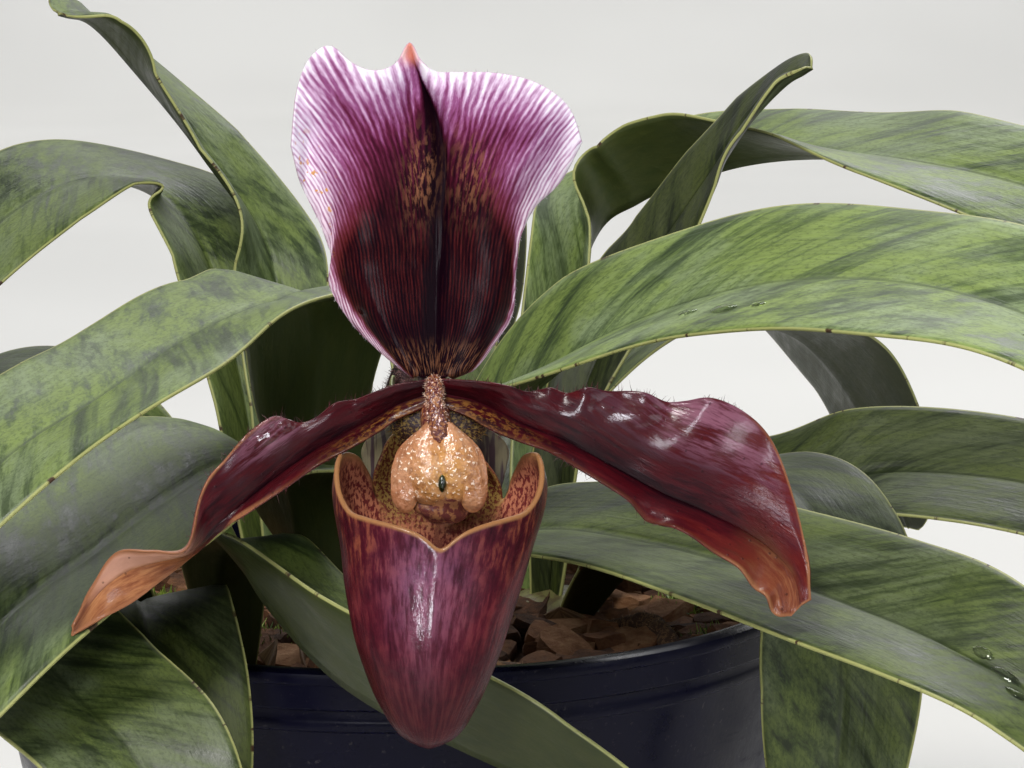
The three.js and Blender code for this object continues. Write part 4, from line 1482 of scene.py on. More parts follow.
    def build(self) -> None:
        """Makes the sepal and the short hairs on its rim."""
        sheet = Sheet(
            "dorsal_sepal_flesh", self.surface, 130, 130, 0.9, edge_width=0.1, marks=self.marks, faces=-1
        )
        dress(sheet.build(), DorsalFinish().material(), ["dorsal_sepal"])
        draw = np.random.default_rng(31)
        count = 420
        u = draw.uniform(0.1, 1, count)
        v = np.where(draw.random(count) < 0.5, -1.0, 1.0)
        on_top = draw.random(count) < 0.45
        v = np.where(on_top, draw.uniform(-1, 1, count), v)
        u = np.where(on_top, 1.0, u)
        roots = self.surface(u, v)
        inner = self.surface(np.where(on_top, 0.97, u), np.where(on_top, v, v * 0.97))
        aims = unit(roots - inner) + draw.normal(scale=0.35, size=roots.shape)
        lengths = draw.uniform(0.35, 0.8, count)
        hairs = plant_hairs(
            "dorsal_rim_hairs", bloom_to_plant(roots - unit(aims) * 0.2), turned_to_plant(aims), lengths,
            0.03, 0.3, 32,
        )
        dress(hairs, HairFinish("hair_pale", shade(150, 110, 140), shade(236, 228, 238)).material())


@dataclass
class Petal:
    """A long drooping petal, drawn through its upper margin, midrib and lower margin."""

    side: Side
    upper: Knots
    midrib: Knots
    lower: Knots
    frill_upper: Knots
    frill_lower: Knots
    ripe_from: float
    ripe_full: float
    rust_from: float
    roll_back: float
    shines: Sequence[Sequence[float]]
    hairs_above: int = 150
    hairs_below: int = 60

    def surface(self, u: Array, v: Array) -> Array:
        """The petal's middle skin in the bloom's frame.

        Args:
            u: places along it, from 0 to 1.
            v: places across it, from -1 to 1.

        Returns:
            A point for each place.
        """
        middle = along(self.midrib, u)
        edge = np.where((v < 0)[:, None], along(self.lower, u), along(self.upper, u))
        reach = np.abs(v)[:, None]
        points = middle + (edge - middle) * reach ** np.where(v < 0, 1.45, 1.15)[:, None]
        frill = np.where(v < 0, profile(self.frill_lower, u), profile(self.frill_upper, u)) * np.abs(v) ** 4
        points[:, 2] += frill
        points[:, 1] += -1.1 * frill + 0.25 * np.sin(u * 39) * np.abs(v) ** 5 * smooth_step(0, 0.2, u)
        points[:, 1] += 0.2 * hump(v, 0, 0.1) * smooth_step(1, 0.8, u)
        rolled = self.roll_back * smooth_step(0.1, 0.25, u) * smooth_step(0.75, 0.55, u)
        points[:, 1] += rolled * smooth_step(0.5, 1, v)
        points[:, 1] += 0.16 * ripple(points[:, [0, 2]], 5, 41) * smooth_step(0, 0.15, u)
        points[:, 0] -= self.side.value * 2.3 * smooth_step(0.07, 0, u)
        return towards_light(points, self.shines)

    def marks(self, u: Array, v: Array, points: Array) -> Marks:
        """Tone, flecks, tan, rust and a painted lilac sheen for the finish.

        Args:
            u: places along it, from 0 to 1.
            v: places across it, from -1 to 1.
            points: the skin's points at those places.

        Returns:
            Values by name, for the finish.
        """
        margin = np.where((v < 0)[:, None], along(self.lower, u), along(self.upper, u))
        half = np.linalg.norm(margin - along(self.midrib, u), axis=1)
        edge = np.minimum((1 - np.abs(v)) * half, (1 - u) * 60)
        run = u * 70
        ripe = smooth_step(self.ripe_from, self.ripe_full, u + 0.02 * ripple(points[:, [0, 2]], 4, 44))
        if self.side is Side.RIGHT:
            ripe = 0.66 * ripe * smooth_step(0.5, -0.4, v)
        rust = smooth_step(self.rust_from, self.rust_from + 0.2, u) + 0.15 * smooth_step(-0.3, -0.7, v)
        tone = 0.8 - 0.3 * smooth_step(0.4, 0.95, u) + 0.26 * hump(v, -0.05, 0.16)
        tone = tone - 0.1 * smooth_step(0.4, 1, v)
        tone = tone - 0.2 * smooth_step(-0.25, -0.8, v) * smooth_step(0.1, 0.5, u)
        on_left = self.side is Side.LEFT
        # Painted sheen: lilac streaks near the upper margin stand in for a reflection of the sky.
        sheen = 0.9 * hump(u, 0.37, 0.07) if on_left else 0.85 * hump(u, 0.58, 0.17)
        painted_lilac_sheen = smooth_step(0.3, 0.8, v) * sheen
        shine = painted_spots(points, self.shines, 2)
        papery = 0.85 * smooth_step(0.02, 0.3, v) * smooth_step(0.97, 0.85, u) * on_left
        pinch = np.maximum(hump(v, 0.02, 0.09), smooth_step(0.9, 1, u)) * on_left
        gold = smooth_step(-0.25, -0.6, v) * smooth_step(0.32, 0.08, u) * smooth_step(0, 0.04, u)
        blade = np.stack([run, v * half, np.full(len(u), self.side.value * 4.0)], axis=1) * MM
        return {
            "tone": tone, "ripe": np.clip(ripe, 0, 1), "rust": np.clip(rust, 0, 1),
            "gold": np.clip(gold, 0, 1), "painted_lilac_sheen": painted_lilac_sheen, "shine": shine, "papery": papery, "pinch": pinch,
            "edge": edge * MM, "blade": blade,
        }

    def build(self, finish: Finish, hair: Finish) -> None:
        """Makes the petal and the dark hairs along its margins.

        Args:
            finish: what the piece is made of.
            hair: what its hairs are made of.
        """
        word = self.side.name.lower()
        sheet = Sheet(
            f"petal_{word}_flesh", self.surface, 220, 56, 0.9, 0.35, 0.25, self.marks, True, self.side.value
        )
        dress(sheet.build(), finish, [f"petal_{word}"])
        draw = np.random.default_rng(50 + self.side.value)
        count = self.hairs_above + self.hairs_below
        u = np.concatenate(
            [draw.uniform(0.03, 0.74, self.hairs_above), draw.uniform(0.1, 0.62, self.hairs_below)]
        )
        v = np.concatenate([np.ones(self.hairs_above), -np.ones(self.hairs_below)])
        roots = self.surface(u, v)
        outward = unit(roots - self.surface(u, v * 0.93))
        aims = outward + draw.normal(scale=0.4, size=(count, 3))
        lengths = draw.uniform(0.6, 1.7, count) * smooth_step(0.8, 0.45, u)
        hairs = plant_hairs(
            f"petal_{word}_hairs", bloom_to_plant(roots - outward * 0.25), turned_to_plant(aims),
            np.maximum(lengths, 0.3), 0.05, 0.35, 60 + self.side.value,
        )
        dress(hairs, hair)


def right_petal() -> Petal:
    """The petal on the viewer's right.

    Returns:
        The petal.
    """
    return Petal(
        side=Side.RIGHT,
        upper=(
            (2.6, 1.6, 1), (8.5, 1.2, 0.3), (15, 2.2, -0.6), (22.5, 1.4, -0.6), (30, 2.4, -1),
            (37.5, 1.6, -1.9), (44.5, 1.8, -3.1), (50.3, 1.6, -7.5), (53.8, 1, -15.5), (56.2, 0, -25.5),
            (56.6, -1, -32.2),
        ),
        midrib=(
            (2.5, 3, -0.9), (8, 3.6, -3.1), (14, 3.6, -6.2), (20.5, 3.4, -9), (27.5, 3.2, -12.9),
            (34.5, 3, -16.7), (41.5, 2.8, -19.6), (47, 2.4, -22.4), (51, 1.6, -25.2), (54, 0.6, -28.5),
            (55.2, -0.8, -33),
        ),
        lower=(
            (2.4, 2, -2.6), (7.5, 1, -6.2), (13.2, 0.4, -8.7), (19, 0, -10.6), (25.5, -0.4, -14.8),
            (32, -0.8, -19.1), (38.5, -1, -23.2), (44, -1, -27), (48, -1, -30.4), (51, -1.2, -34),
            (53.6, -1.2, -34.6),
        ),
        frill_upper=(
            (0, 0), (0.15, 0), (0.19, -0.5), (0.235, 0.25), (0.27, -0.6), (0.31, 0.25), (0.35, -0.15),
            (0.4, 0.1), (0.43, 0), (0.47, -0.95), (0.51, -0.4), (0.55, 0.4), (0.6, 0.35), (0.64, 0.3),
            (0.7, 0.2), (0.8, 0), (1, 0),
        ),
        frill_lower=(
            (0, 0), (0.25, 0.1), (0.32, -0.4), (0.4, 0), (0.46, 0), (0.485, -1), (0.5, -1.4), (0.535, -0.55),
            (0.56, 0.3), (0.6, 0.7), (0.66, 0.5), (0.74, 1), (0.8, 0), (0.86, 1), (0.89, -0.2), (1, 0),
        ),
        ripe_from=0.62,
        ripe_full=0.95,
        rust_from=0.6,
        roll_back=1.2,
        shines=((25.4, 2.9, -3.4, 2, 1.1), (29.4, 2.6, -4.9, 4.2, 1.5)),
    )


def left_petal() -> Petal:
    """The petal on the viewer's left, which is pinched and curled near its tan end.

    Returns:
        The petal.
    """
    return Petal(
        side=Side.LEFT,
        upper=(
            (-2.6, 1.6, 0.9), (-7, 1.2, -0.3), (-12.2, 1.6, -2.4), (-18.5, 0.6, -4.8), (-24.5, -0.4, -5.5),
            (-30.3, -1.6, -9.8), (-34.6, -3, -16.2), (-36.6, -4.4, -24.2), (-42, -2.2, -24.9),
            (-47.6, 0, -25.4), (-51.4, 1, -30.3), (-54.2, 0.4, -36.2),
        ),
        midrib=(
            (-2.5, 3, -1), (-7, 3.5, -4), (-12.5, 3.2, -7), (-18, 2.6, -10.2), (-24, 1.8, -14.4),
            (-29, 0.8, -18.4), (-32.8, 0, -21.4), (-36.6, -0.4, -24.9), (-42, 0, -26.4), (-46.3, 0.8, -28.2),
            (-50.2, 1.2, -31.4), (-54.2, 0.6, -37),
        ),
        lower=(
            (-2.4, 2, -2.6), (-7.5, 0.4, -6.6), (-12.8, -1, -9.8), (-18, -1.8, -12.4), (-23.3, -1.6, -16.2),
            (-28.4, -0.4, -19.8), (-32.2, 1.8, -22.2), (-36.2, 3.6, -25.6), (-40.2, 2.8, -29),
            (-45, 1, -32.8), (-50, 0.2, -35.4), (-54.3, 0.2, -37.8),
        ),
        frill_upper=(
            (0, 0), (0.17, 0), (0.22, 0.7), (0.26, -0.3), (0.3, -0.6), (0.35, 0.5), (0.41, 0.2), (0.47, -0.4),
            (0.52, 0.2), (0.57, -0.2), (0.66, 0), (0.8, 0.3), (0.9, 0), (1, 0),
        ),
        frill_lower=((0, 0), (0.2, 0.1), (0.3, -0.2), (0.45, 0.2), (0.6, 0), (0.8, 0.2), (1, 0)),
        ripe_from=0.58,
        ripe_full=0.68,
        rust_from=0.3,
        roll_back=0.5,
        shines=((-22.8, 0.5, -5.9, 1.5, 0.9), (-25.6, 0.1, -7.7, 1.9, 0.8)),
    )


@dataclass
class Pouch:
    """The slipper: a hollow cup with a notched front rim, two ears and a claw behind."""

    tip: float = -53
    half: Knots = (
        (-53, 0), (-51.8, 2.9), (-50, 4.8), (-48, 6.1), (-45, 7.8), (-40, 9.8), (-35.7, 11.2), (-30, 12.7),
        (-25.4, 13.8), (-20, 15), (-15.3, 15.7), (-8, 15.6), (-4, 15),
    )
    depth_share: float = 0.86
    centre: Knots = (
        (-53, -11.4), (-48, -11.6), (-40, -10.2), (-30, -7), (-20, -4.2), (-15, -2.8), (-4, -2),
    )
    shift: Knots = ((-53, -0.3), (-36, -0.2), (-25, 0.6), (-15, 1.1), (-4, 0.6))
    rim: Knots = (
        (0, -23.7), (3, -23.3), (7, -22.4), (14, -21.2), (26, -20.1), (42, -19.2), (56, -18.4), (66, -16.6),
        (74, -14.2), (82, -12), (91, -10.6), (101, -10.1), (113, -10.1), (124, -10.8), (133, -12.6),
        (140, -15.4), (146, -17.6), (151, -14), (156, -10), (163, -7.4), (172, -6.4), (180, -6),
    )
    mouth_turn: float = 3.5
    claw_radius: float = 7.4
    claw_centre: float = 2.2
    wall: float = 0.9

    def angle(self, u: Array) -> Array:
        """Degrees around from the front, from -180 to 180."""
        return -180 + 360 * u

    def mouth(self, angle: Array) -> Array:
        """The rim's height, whose notch stands a little to the right."""
        notch = angle - self.mouth_turn * smooth_step(40, 0, np.abs(angle))
        return profile(self.rim, np.abs(notch))

    def surface(self, u: Array, v: Array) -> Array:
        """The pouch's wall in the bloom's frame, from the rim at v = -1 to the toe at v = 1.

        Args:
            u: places along it, from 0 to 1.
            v: places across it, from -1 to 1.

        Returns:
            A point for each place.
        """
        angle, down = self.angle(u), (v + 1) / 2
        turned_by = np.abs(angle)
        top = self.mouth(angle)
        z = top + (self.tip - top) * down**0.9
        claw = smooth_step(-20, -9, z) * smooth_step(138, 150, turned_by)
        sweep = np.radians(180 - (180 - turned_by) * (1 + 1.9 * claw)) * np.where(angle < 0, -1, 1)
        plain = profile(self.half, z)
        half = plain + (self.claw_radius - plain) * claw
        deep = plain * self.depth_share + (self.claw_radius - plain * self.depth_share) * claw
        middle = profile(self.centre, z)
        middle = middle + (self.claw_centre - middle) * claw
        fall = top - z
        keel = 0.28 * hump(angle, 2, 3.5) * smooth_step(26, 6, fall) * smooth_step(0, 2, fall)
        ear = smooth_step(70, 95, turned_by) * smooth_step(135, 120, turned_by)
        curl = -0.9 * ear * smooth_step(4.5, 0, fall)
        x, y = half * np.sin(sweep), -deep * np.cos(sweep)
        swell = 0.12 * ripple(np.stack([x, y, z], axis=1), 6, 71) * smooth_step(0, 5, fall)
        grow = 1 + (keel + curl + swell) / np.maximum(half, 3)
        return np.stack([profile(self.shift, z) - 1.6 * claw + x * grow, middle + y * grow, z], axis=1)

    def marks(self, u: Array, v: Array, points: Array) -> Marks:
        """Rim, throat, the toe with its painted shade, and the painted sheen, for the finish.

        Args:
            u: places along it, from 0 to 1.
            v: places across it, from -1 to 1; not used.
            points: the skin's points at those places.

        Returns:
            Values by name, for the finish.
        """
        angle = self.angle(u)
        top = self.mouth(angle)
        z = points[:, 2]
        throat = smooth_step(138, 150, np.abs(angle)) * smooth_step(-24, -17, z)
        around = angle / 57.3 * 13
        blade = np.stack([-z, around, np.zeros(len(u))], axis=1) * MM
        sides = 0.25 + 0.75 * smooth_step(20, 60, np.abs(angle))
        # The toe mark also darkens the toe with painted shade; the sheen mark places a painted lilac
        # reflection on the front.
        return {
            "edge": (top - z) * MM, "throat": throat, "toe": smooth_step(-34, -48, z), "sides": sides,
            "blade": blade, "painted_sheen_haze": hump(angle, -4, 24) * hump(z, -29, 9.5),
            "streak": hump(angle, -5, 20) * hump(z, -32, 10) * smooth_step(-47, -40, z),
        }

    def rim_weight(self, u: Array, v: Array) -> Array:
        """Where the wall is thick: along the rim, in front of the claw."""
        return smooth_step(0.07, 0, (v + 1) / 2) * smooth_step(150, 138, np.abs(self.angle(u)))

    def build(self) -> None:
        """Rolls a grid into the cup, gives it a wall with a thicker rim, and rounds it."""
        sheet = Sheet(
            "pouch_flesh", self.surface, 132, 56, self.wall, edge_share=0.7, marks=self.marks, faces=-1,
            rolled=True, weights=self.rim_weight, rounding=1,
        )
        dress(sheet.build(), PouchFinish().material(), ["pouch"])


@dataclass
class Column:
    """The column: a hairy knob and stalk over the warty shield, with the stigma behind."""

    centre: float = 1.0
    shield_top: float = -6.4
    shield_height: float = 11.6
    shield_half: Knots = ((0, 1.9), (0.12, 3.9), (0.3, 5.9), (0.5, 6.8), (0.7, 7.1), (0.88, 7), (1, 6.4))
    shield_top_edge: Knots = ((0, -1.6), (0.25, -0.5), (0.5, 0.4), (0.8, 0.2), (1, 0))
    shield_foot: Knots = (
        (0, 0.97), (0.3, 0.97), (0.45, 0.95), (0.52, 0.93), (0.58, 1), (0.66, 1.06), (0.8, 1.08),
        (0.92, 1.04), (1, 0.93),
    )
    stalk: Knots = (
        (0.2, 2.6, 0.6), (0.15, 0.2, 0.2), (0.2, -1.7, -1.2), (0.5, -2.9, -3.5), (0.9, -3.5, -6.2),
        (1.2, -2.8, -9),
    )
    body_route: Knots = ((0, 3.4, -2), (0.4, 1.6, -6), (0.9, 0.4, -11), (1, -0.4, -15.5))

    def shield(self, u: Array, v: Array) -> Array:
        """The shield's middle skin: domed, notched above for the stalk and below for the stigma.

        Args:
            u: places along it, from 0 to 1.
            v: places across it, from -1 to 1.

        Returns:
            A point for each place.
        """
        side = np.abs(v)
        half = profile(self.shield_half, u)
        foot = self.shield_height * profile(self.shield_foot, side)
        top = self.shield_top + profile(self.shield_top_edge, side) * (1 - u) ** 2
        z = top - u * foot
        x = self.centre + v * half
        y = -3 - 2.3 * (1 - v * v) * np.sin(math.pi * (0.2 + 0.7 * u)) + 1.2 * (1 - u) ** 2
        y = y + 0.7 * hump(v, 0.02, 0.1) * smooth_step(0.75, 0.1, u)
        y = y + 0.6 * hump(x, 1.5, 0.9) * hump(z, -14.6, 1.6)
        spots = np.stack([x, z], axis=1)
        y = y + 0.05 * ripple(spots, 1.1, 81, 11) + 0.12 * ripple(spots, 3, 82)
        return np.stack([x, y, z], axis=1)

    def shield_marks(self, u: Array, v: Array, points: Array) -> Marks:
        """The gold heart, the rim, and where highlight dots are painted, for the finish.

        Args:
            u: places along it, from 0 to 1.
            v: places across it, from -1 to 1.
            points: the skin's points at those places.

        Returns:
            Values by name, for the finish.
        """
        x, _, z = points.T
        heart = np.exp(-(((x - 1.8) / 4) ** 2 + ((z + 13) / 4.5) ** 2))
        edge = np.minimum((1 - np.abs(v)) * profile(self.shield_half, u), (1 - u) * 12)
        # Where the shield's painted highlight dots go.
        wet = np.clip(1.5 * np.exp(-(((x - 0.6) / 5.4) ** 4 + ((z + 12) / 4.2) ** 4)), 0, 1)
        return {"heart": heart, "wet": wet, "edge": edge * MM}

    def stalk_radius(self, t: Array, angle: Array) -> Array:
        """The knob, the neck, and the bumps on both.

        Args:
            t: places along it, from 0 to 1.
            angle: directions around it, in radians.

        Returns:
            A radius for each place.
        """
        body = 1.1 + 0.22 * hump(t, 0.38, 0.14) + 0.35 * smooth_step(0.5, 0.9, t)
        bumps = 0.08 * np.sin(angle * 5 + t * 40) + 0.06 * np.sin(angle * 9 - t * 70)
        ends = np.sqrt(np.clip(1 - np.clip((t - 0.9) / 0.1, 0, 1) ** 2, 0, 1)) * smooth_step(0, 0.03, t)
        return (body + bumps) * ends

    def blob(
        self, name: str, place: Sequence[float], size: Sequence[float], seed: int, rough: float
    ) -> Piece:
        """A lumpy ball of flesh in the bloom's frame.

        Args:
            name: the piece's name.
            place: where it is.
            size: how large it is along each axis.
            seed: fixes the lumps.
            rough: how lumpy it is.

        Returns:
            The ball.
        """
        deselect_all()
        bpy.ops.mesh.primitive_uv_sphere_add(segments=40, ring_count=26, radius=1)
        piece = named(name)
        ball = coordinates(piece)
        ball = ball * (1 + rough * ripple(ball, 0.7, seed)[:, None])
        put_vertices(piece, bloom_to_plant(ball * np.asarray(size) + np.asarray(place)) * MM)
        smooth_shading(piece)
        return piece

    def build(self) -> None:
        """Makes the shield, stalk, boss and stigma, and the short glinting hairs."""
        shield = Sheet("column_shield", self.shield, 90, 110, 1.5, 0.55, 0.2, self.shield_marks, True, 1)
        dress(shield.build(), ShieldFinish().material(), ["column"])
        stalk = Tube("column_stalk", self.stalk, self.stalk_radius, 90, 40, True)
        # The stalk's finish carries painted highlight dots.
        speckled = SpeckledFinish(
            "stalk_speckled", shade(158, 104, 62), shade(86, 30, 32), 0.45, 0.48, 0.3, 0.4, 0.9
        )
        dress(stalk.build(), speckled.material())
        boss = self.blob("column_boss", (1.5, -5.35, -14.6), (0.62, 0.7, 1.3), 5, 0.04)
        green = SpeckledFinish("boss_green", shade(40, 52, 20), shade(20, 28, 10), 0.6, 0.5, 0.12, 0.8)
        dress(boss, green.material())
        stigma = self.blob("column_stigma", (1.3, -1.6, -17.6), (4.4, 2.9, 3.2), 9, 0.1)
        wet = SpeckledFinish("stigma_wet", shade(142, 96, 64), shade(92, 48, 44), 1.4, 0.5, 0.16, 0.9)
        dress(stigma, wet.material())
        self.collar()
        body = Tube("column_body", self.body_route, self.body_radius, 40, 28, True)
        dress(body.build(), speckled.material())
        hairs = stalk.hairs("column_hairs", 420, (0.16, 0.72), 0.25, (0.25, 0.5), 0.035, 0.2, (83, 84))
        dress(hairs, HairFinish("hair_gold", shade(150, 90, 60), shade(240, 214, 190)).material())

    def collar(self) -> None:
        """The speckled, bristly flesh around the column's foot, between the petals."""
        middle, size = np.array([0.6, 5.4, -5.6]), np.array([7.4, 2.6, 4.6])
        flesh = SpeckledFinish("collar_speckled", shade(150, 122, 56), shade(50, 22, 24), 0.5, 0.47, 0.45)
        dress(self.blob("column_collar", middle, size, 15, 0.05), flesh.material())
        draw = np.random.default_rng(87)
        aims = unit(draw.normal(size=(520, 3)) * [1, 0.6, 1] - [0, 0.9, 0])
        roots = bloom_to_plant(middle + aims * size * 0.98)
        lengths = draw.uniform(0.6, 1.2, 520)
        hairs = plant_hairs("collar_hairs", roots, turned_to_plant(aims), lengths, 0.05, 0.4, 88)
        dress(hairs, HairFinish("hair_bristle", shade(34, 16, 18), shade(176, 140, 70)).material())

    def body_radius(self, t: Array, angle: Array) -> Array:
        """The body behind the shield."""
        return 2.3 * np.sqrt(np.clip(1 - (2 * t - 1) ** 6, 0, 1))


@dataclass
class Synsepal:
    """The joined lower sepals behind the pouch."""

    top: float = -5
    bottom: float = -37
    half: Knots = (
        (0, 4), (0.04, 7), (0.08, 9.4), (0.12, 10.8), (0.17, 11.4), (0.24, 11), (0.32, 10.4), (0.45, 9),
        (0.65, 6.6), (0.88, 3.8), (1, 0.8),
    )
    depth: Knots = ((0, 9), (0.1, 13), (0.3, 14.7), (0.6, 14.4), (1, 12.5))
    cupping: float = -1.2

    def surface(self, u: Array, v: Array) -> Array:
        """The middle skin in the bloom's frame.

        Args:
            u: places along it, from 0 to 1.
            v: places across it, from -1 to 1.

        Returns:
            A point for each place.
        """
        z = self.top + u * (self.bottom - self.top)
        x = v * profile(self.half, u)
        y = profile(self.depth, u) + self.cupping * v * v
        y = y + 0.25 * ripple(np.stack([x, z], axis=1), 6, 91) + 0.4 * hump(v, 0, 0.1)
        return np.stack([x, y, z], axis=1)

    def marks(self, u: Array, v: Array, points: Array) -> Marks:
        """The direction of the stripes."""
        return {"blade": points[:, [2, 0, 1]] * [1, 1, 0.1] * MM}

    def build(self) -> None:
        """Makes the sepals."""
        sheet = Sheet("synsepal_flesh", self.surface, 110, 50, 0.9, 0.3, 0.12, self.marks)
        finish = StripedFinish("synsepal_striped", shade(106, 98, 72), shade(50, 28, 34), 0.8, 0.53, 0.5)
        dress(sheet.build(), finish.material(), ["synsepal"])


@dataclass
class FlowerStalk:
    """What carries the bloom: the hairy stem, the ribbed ovary and the bract."""

    stem_route: Knots = ((-2, -23, 102), (-2, -21, 134), (0, -34, 156), (4, -64, 169.5), (6.5, -91.9, 170.6))
    stem_width: float = 2.1
    ovary_route: Knots = ((0, 4.4, -1), (-0.5, 14, 0.4), (-2, 26, 0.8), (-3.5, 38, -0.8))
    ovary_width: float = 3
    ribs: int = 6
    rib_height: float = 0.35
    bract_length: float = 26
    bract_width: float = 3.65
    bract_flare: float = 2.6
    bract_wrap: float = 115

    def stem_radius(self, t: Array, angle: Array) -> Array:
        """The stem, a little uneven, with closed ends."""
        return (self.stem_width + 0.06 * np.sin(9 * t + angle)) * rounded_ends(t, 0.015)

    def ovary_radius(self, t: Array, angle: Array) -> Array:
        """The ribbed, swollen ovary.

        Args:
            t: places along it, from 0 to 1.
            angle: directions around it, in radians.

        Returns:
            A radius for each place.
        """
        swell = 0.78 + 0.22 * np.sin(math.pi * np.minimum(1.2 * t + 0.15, 1))
        ribbed = self.ovary_width * swell + self.rib_height * np.cos(self.ribs * angle + 2 * t)
        return ribbed * rounded_ends(t, 0.04)

    def bract(self, u: Array, v: Array) -> Array:
        """The bract's middle skin, clasping the end of the stem from below.

        Args:
            u: places along it, from 0 to 1.
            v: places across it, from -1 to 1.

        Returns:
            A point for each place.
        """
        foot = self.ovary_route[-1]
        angle = np.radians(self.bract_wrap * v * (1 - 0.75 * u**1.5))
        radius = self.bract_width + self.bract_flare * (0.25 + u * 0.75)
        narrowing = np.sqrt(np.maximum(1 - u**3, 0.02))
        x = foot[0] + radius * np.sin(angle) * narrowing + 0.09 * self.bract_length * u
        y = foot[1] + 3 - self.bract_length * u
        z = foot[2] + 0.6 - radius * np.cos(angle) + 0.6 * u
        return np.stack([x, y, z + 0.12 * ripple(np.stack([x, y], axis=1), 5, 95)], axis=1)

    def bract_marks(self, u: Array, v: Array, points: Array) -> Marks:
        """The direction of the veins."""
        return {"blade": np.stack([u * 26, v * 10, np.ones(len(u))], axis=1) * MM}

    def hair_coat(self, tube: Tube, count: int, seed: int) -> Piece:
        """Short hairs all over a round body."""
        return tube.hairs(
            f"{tube.name}_hairs", count, (0.02, 0.98), 0.3, (0.5, 1.1), 0.04, 0.35, (seed, seed)
        )

    def build(self) -> None:
        """Makes the stem, ovary and bract with their hairs."""
        hair = HairFinish("hair_wine", shade(60, 26, 34), shade(150, 110, 104)).material()
        stem = Tube("flower_stem_flesh", self.stem_route, self.stem_radius, 160, 24)
        purple = SpeckledFinish("stem_purple", shade(66, 30, 38), shade(36, 14, 24), 1.6, 0.52, 0.5)
        dress(stem.build(), purple.material(), ["flower_stem"])
        dress(self.hair_coat(stem, 1700, 101), hair)
        ovary = Tube("ovary_flesh", self.ovary_route, self.ovary_radius, 90, 72, True)
        ribbed = StripedFinish("ovary_ribbed", shade(104, 92, 50), shade(66, 32, 34), 1.5, 0.5, 0.5)
        dress(ovary.build(), ribbed.material(), ["ovary"])
        dress(self.hair_coat(ovary, 900, 102), hair)
        bract = Sheet("bract_flesh", self.bract, 60, 48, 0.8, marks=self.bract_marks)
        pale = StripedFinish("bract_veined", shade(140, 148, 84), shade(104, 96, 60), 1.4, 0.56, 0.5)
        dress(bract.build(), pale.material(), ["bract"])


# The plant


@dataclass
class Leaf:
    """One strap leaf: its width, its midrib's route, the roll and fold along it, and its painted shade."""

    name: str
    width: float
    spine: Knots
    roll: Sequence[float]
    fold: Sequence[float]
    # tone: how much darker the leaf is painted, standing in for the shade it lies in.
    tone: float = 0.5
    seed: int = 0

    def taper(self, t: Array) -> Array:
        """Half width over the full half width, from the clasping foot to the blunt tip.

        Args:
            t: places along it, from 0 to 1.

        Returns:
            A share for each place.
        """
        foot = 0.3 + 0.7 * np.minimum(t / 0.35, 1) ** 0.8
        past = np.clip((t - 0.62) / 0.385, 0, 1)
        return foot * np.maximum(np.sqrt(np.maximum(1 - past**2.3, 0)), 0.05)

    def length(self) -> float:
        """The midrib's length."""
        return float(np.linalg.norm(np.diff(along(self.spine, np.linspace(0, 1, 80)), axis=0), axis=1).sum())

    def surface(self, u: Array, v: Array) -> Array:
        """The leaf's middle skin in the plant's frame.

        Args:
            u: places along it, from 0 to 1.
            v: places across it, from -1 to 1.

        Returns:
            A point for each place.
        """
        ahead, behind = np.minimum(u + 0.001, 1), np.maximum(u - 0.001, 0)
        tangent = unit(along(self.spine, ahead) - along(self.spine, behind))
        side = unit(np.cross(tangent, [0.0, 0.0, 1.0]))
        lift = np.cross(side, tangent)
        lean, bend = np.radians(along(self.roll, u)), np.radians(along(self.fold, u))
        half = self.width / 2 * self.taper(u)
        across = v * half * np.cos(bend)
        raised = np.abs(v) * half * np.sin(bend)
        run = u * self.length()
        swell = ripple(np.stack([run, v * half], axis=1), 26, 200 + self.seed) * 0.5
        flutter = np.sin(run / 9 + self.seed) * np.abs(v) ** 3 * 0.35
        raised = raised + (swell * np.abs(v) + flutter - 0.35 * hump(v, 0, 0.06)) * smooth_step(0.1, 0.35, u)
        return (
            along(self.spine, u)
            + side * (across * np.cos(lean) - raised * np.sin(lean))[:, None]
            + lift * (across * np.sin(lean) + raised * np.cos(lean))[:, None]
        )

    def marks(self, u: Array, v: Array, points: Array) -> Marks:
        """Distances along, across and from the margin, and the leaf's painted shade, for the finish.

        Args:
            u: places along it, from 0 to 1.
            v: places across it, from -1 to 1.
            points: the skin's points at those places; not used.

        Returns:
            Values by name, for the finish.
        """
        half = self.width / 2 * self.taper(u)
        run = u * self.length()
        edge = np.minimum((1 - np.abs(v)) * half, (1 - u) * self.length())
        apart = np.full(len(u), 37.0 * self.seed)
        blade = np.stack([run, v * half, apart], axis=1) * MM
        marble = np.stack([run - 0.8 * np.abs(v) * half, 0.6 * run + v * half, apart], axis=1) * MM
        # The leaf's painted shade, the same all over it.
        tone = np.full(len(u), self.tone)
        return {"blade": blade, "marble": marble, "edge": edge * MM, "across": v * half * MM, "tone": tone}

    def build(self, finish: Finish) -> None:
        """Makes the leaf.

        Args:
            finish: what the piece is made of.
        """
        sheet = Sheet(
            f"{self.name}_flesh", self.surface, 130, 24, 1.3, 0.35, 0.16, self.marks, in_bloom=False, faces=-1
        )
        dress(sheet.build(), finish, [self.name])


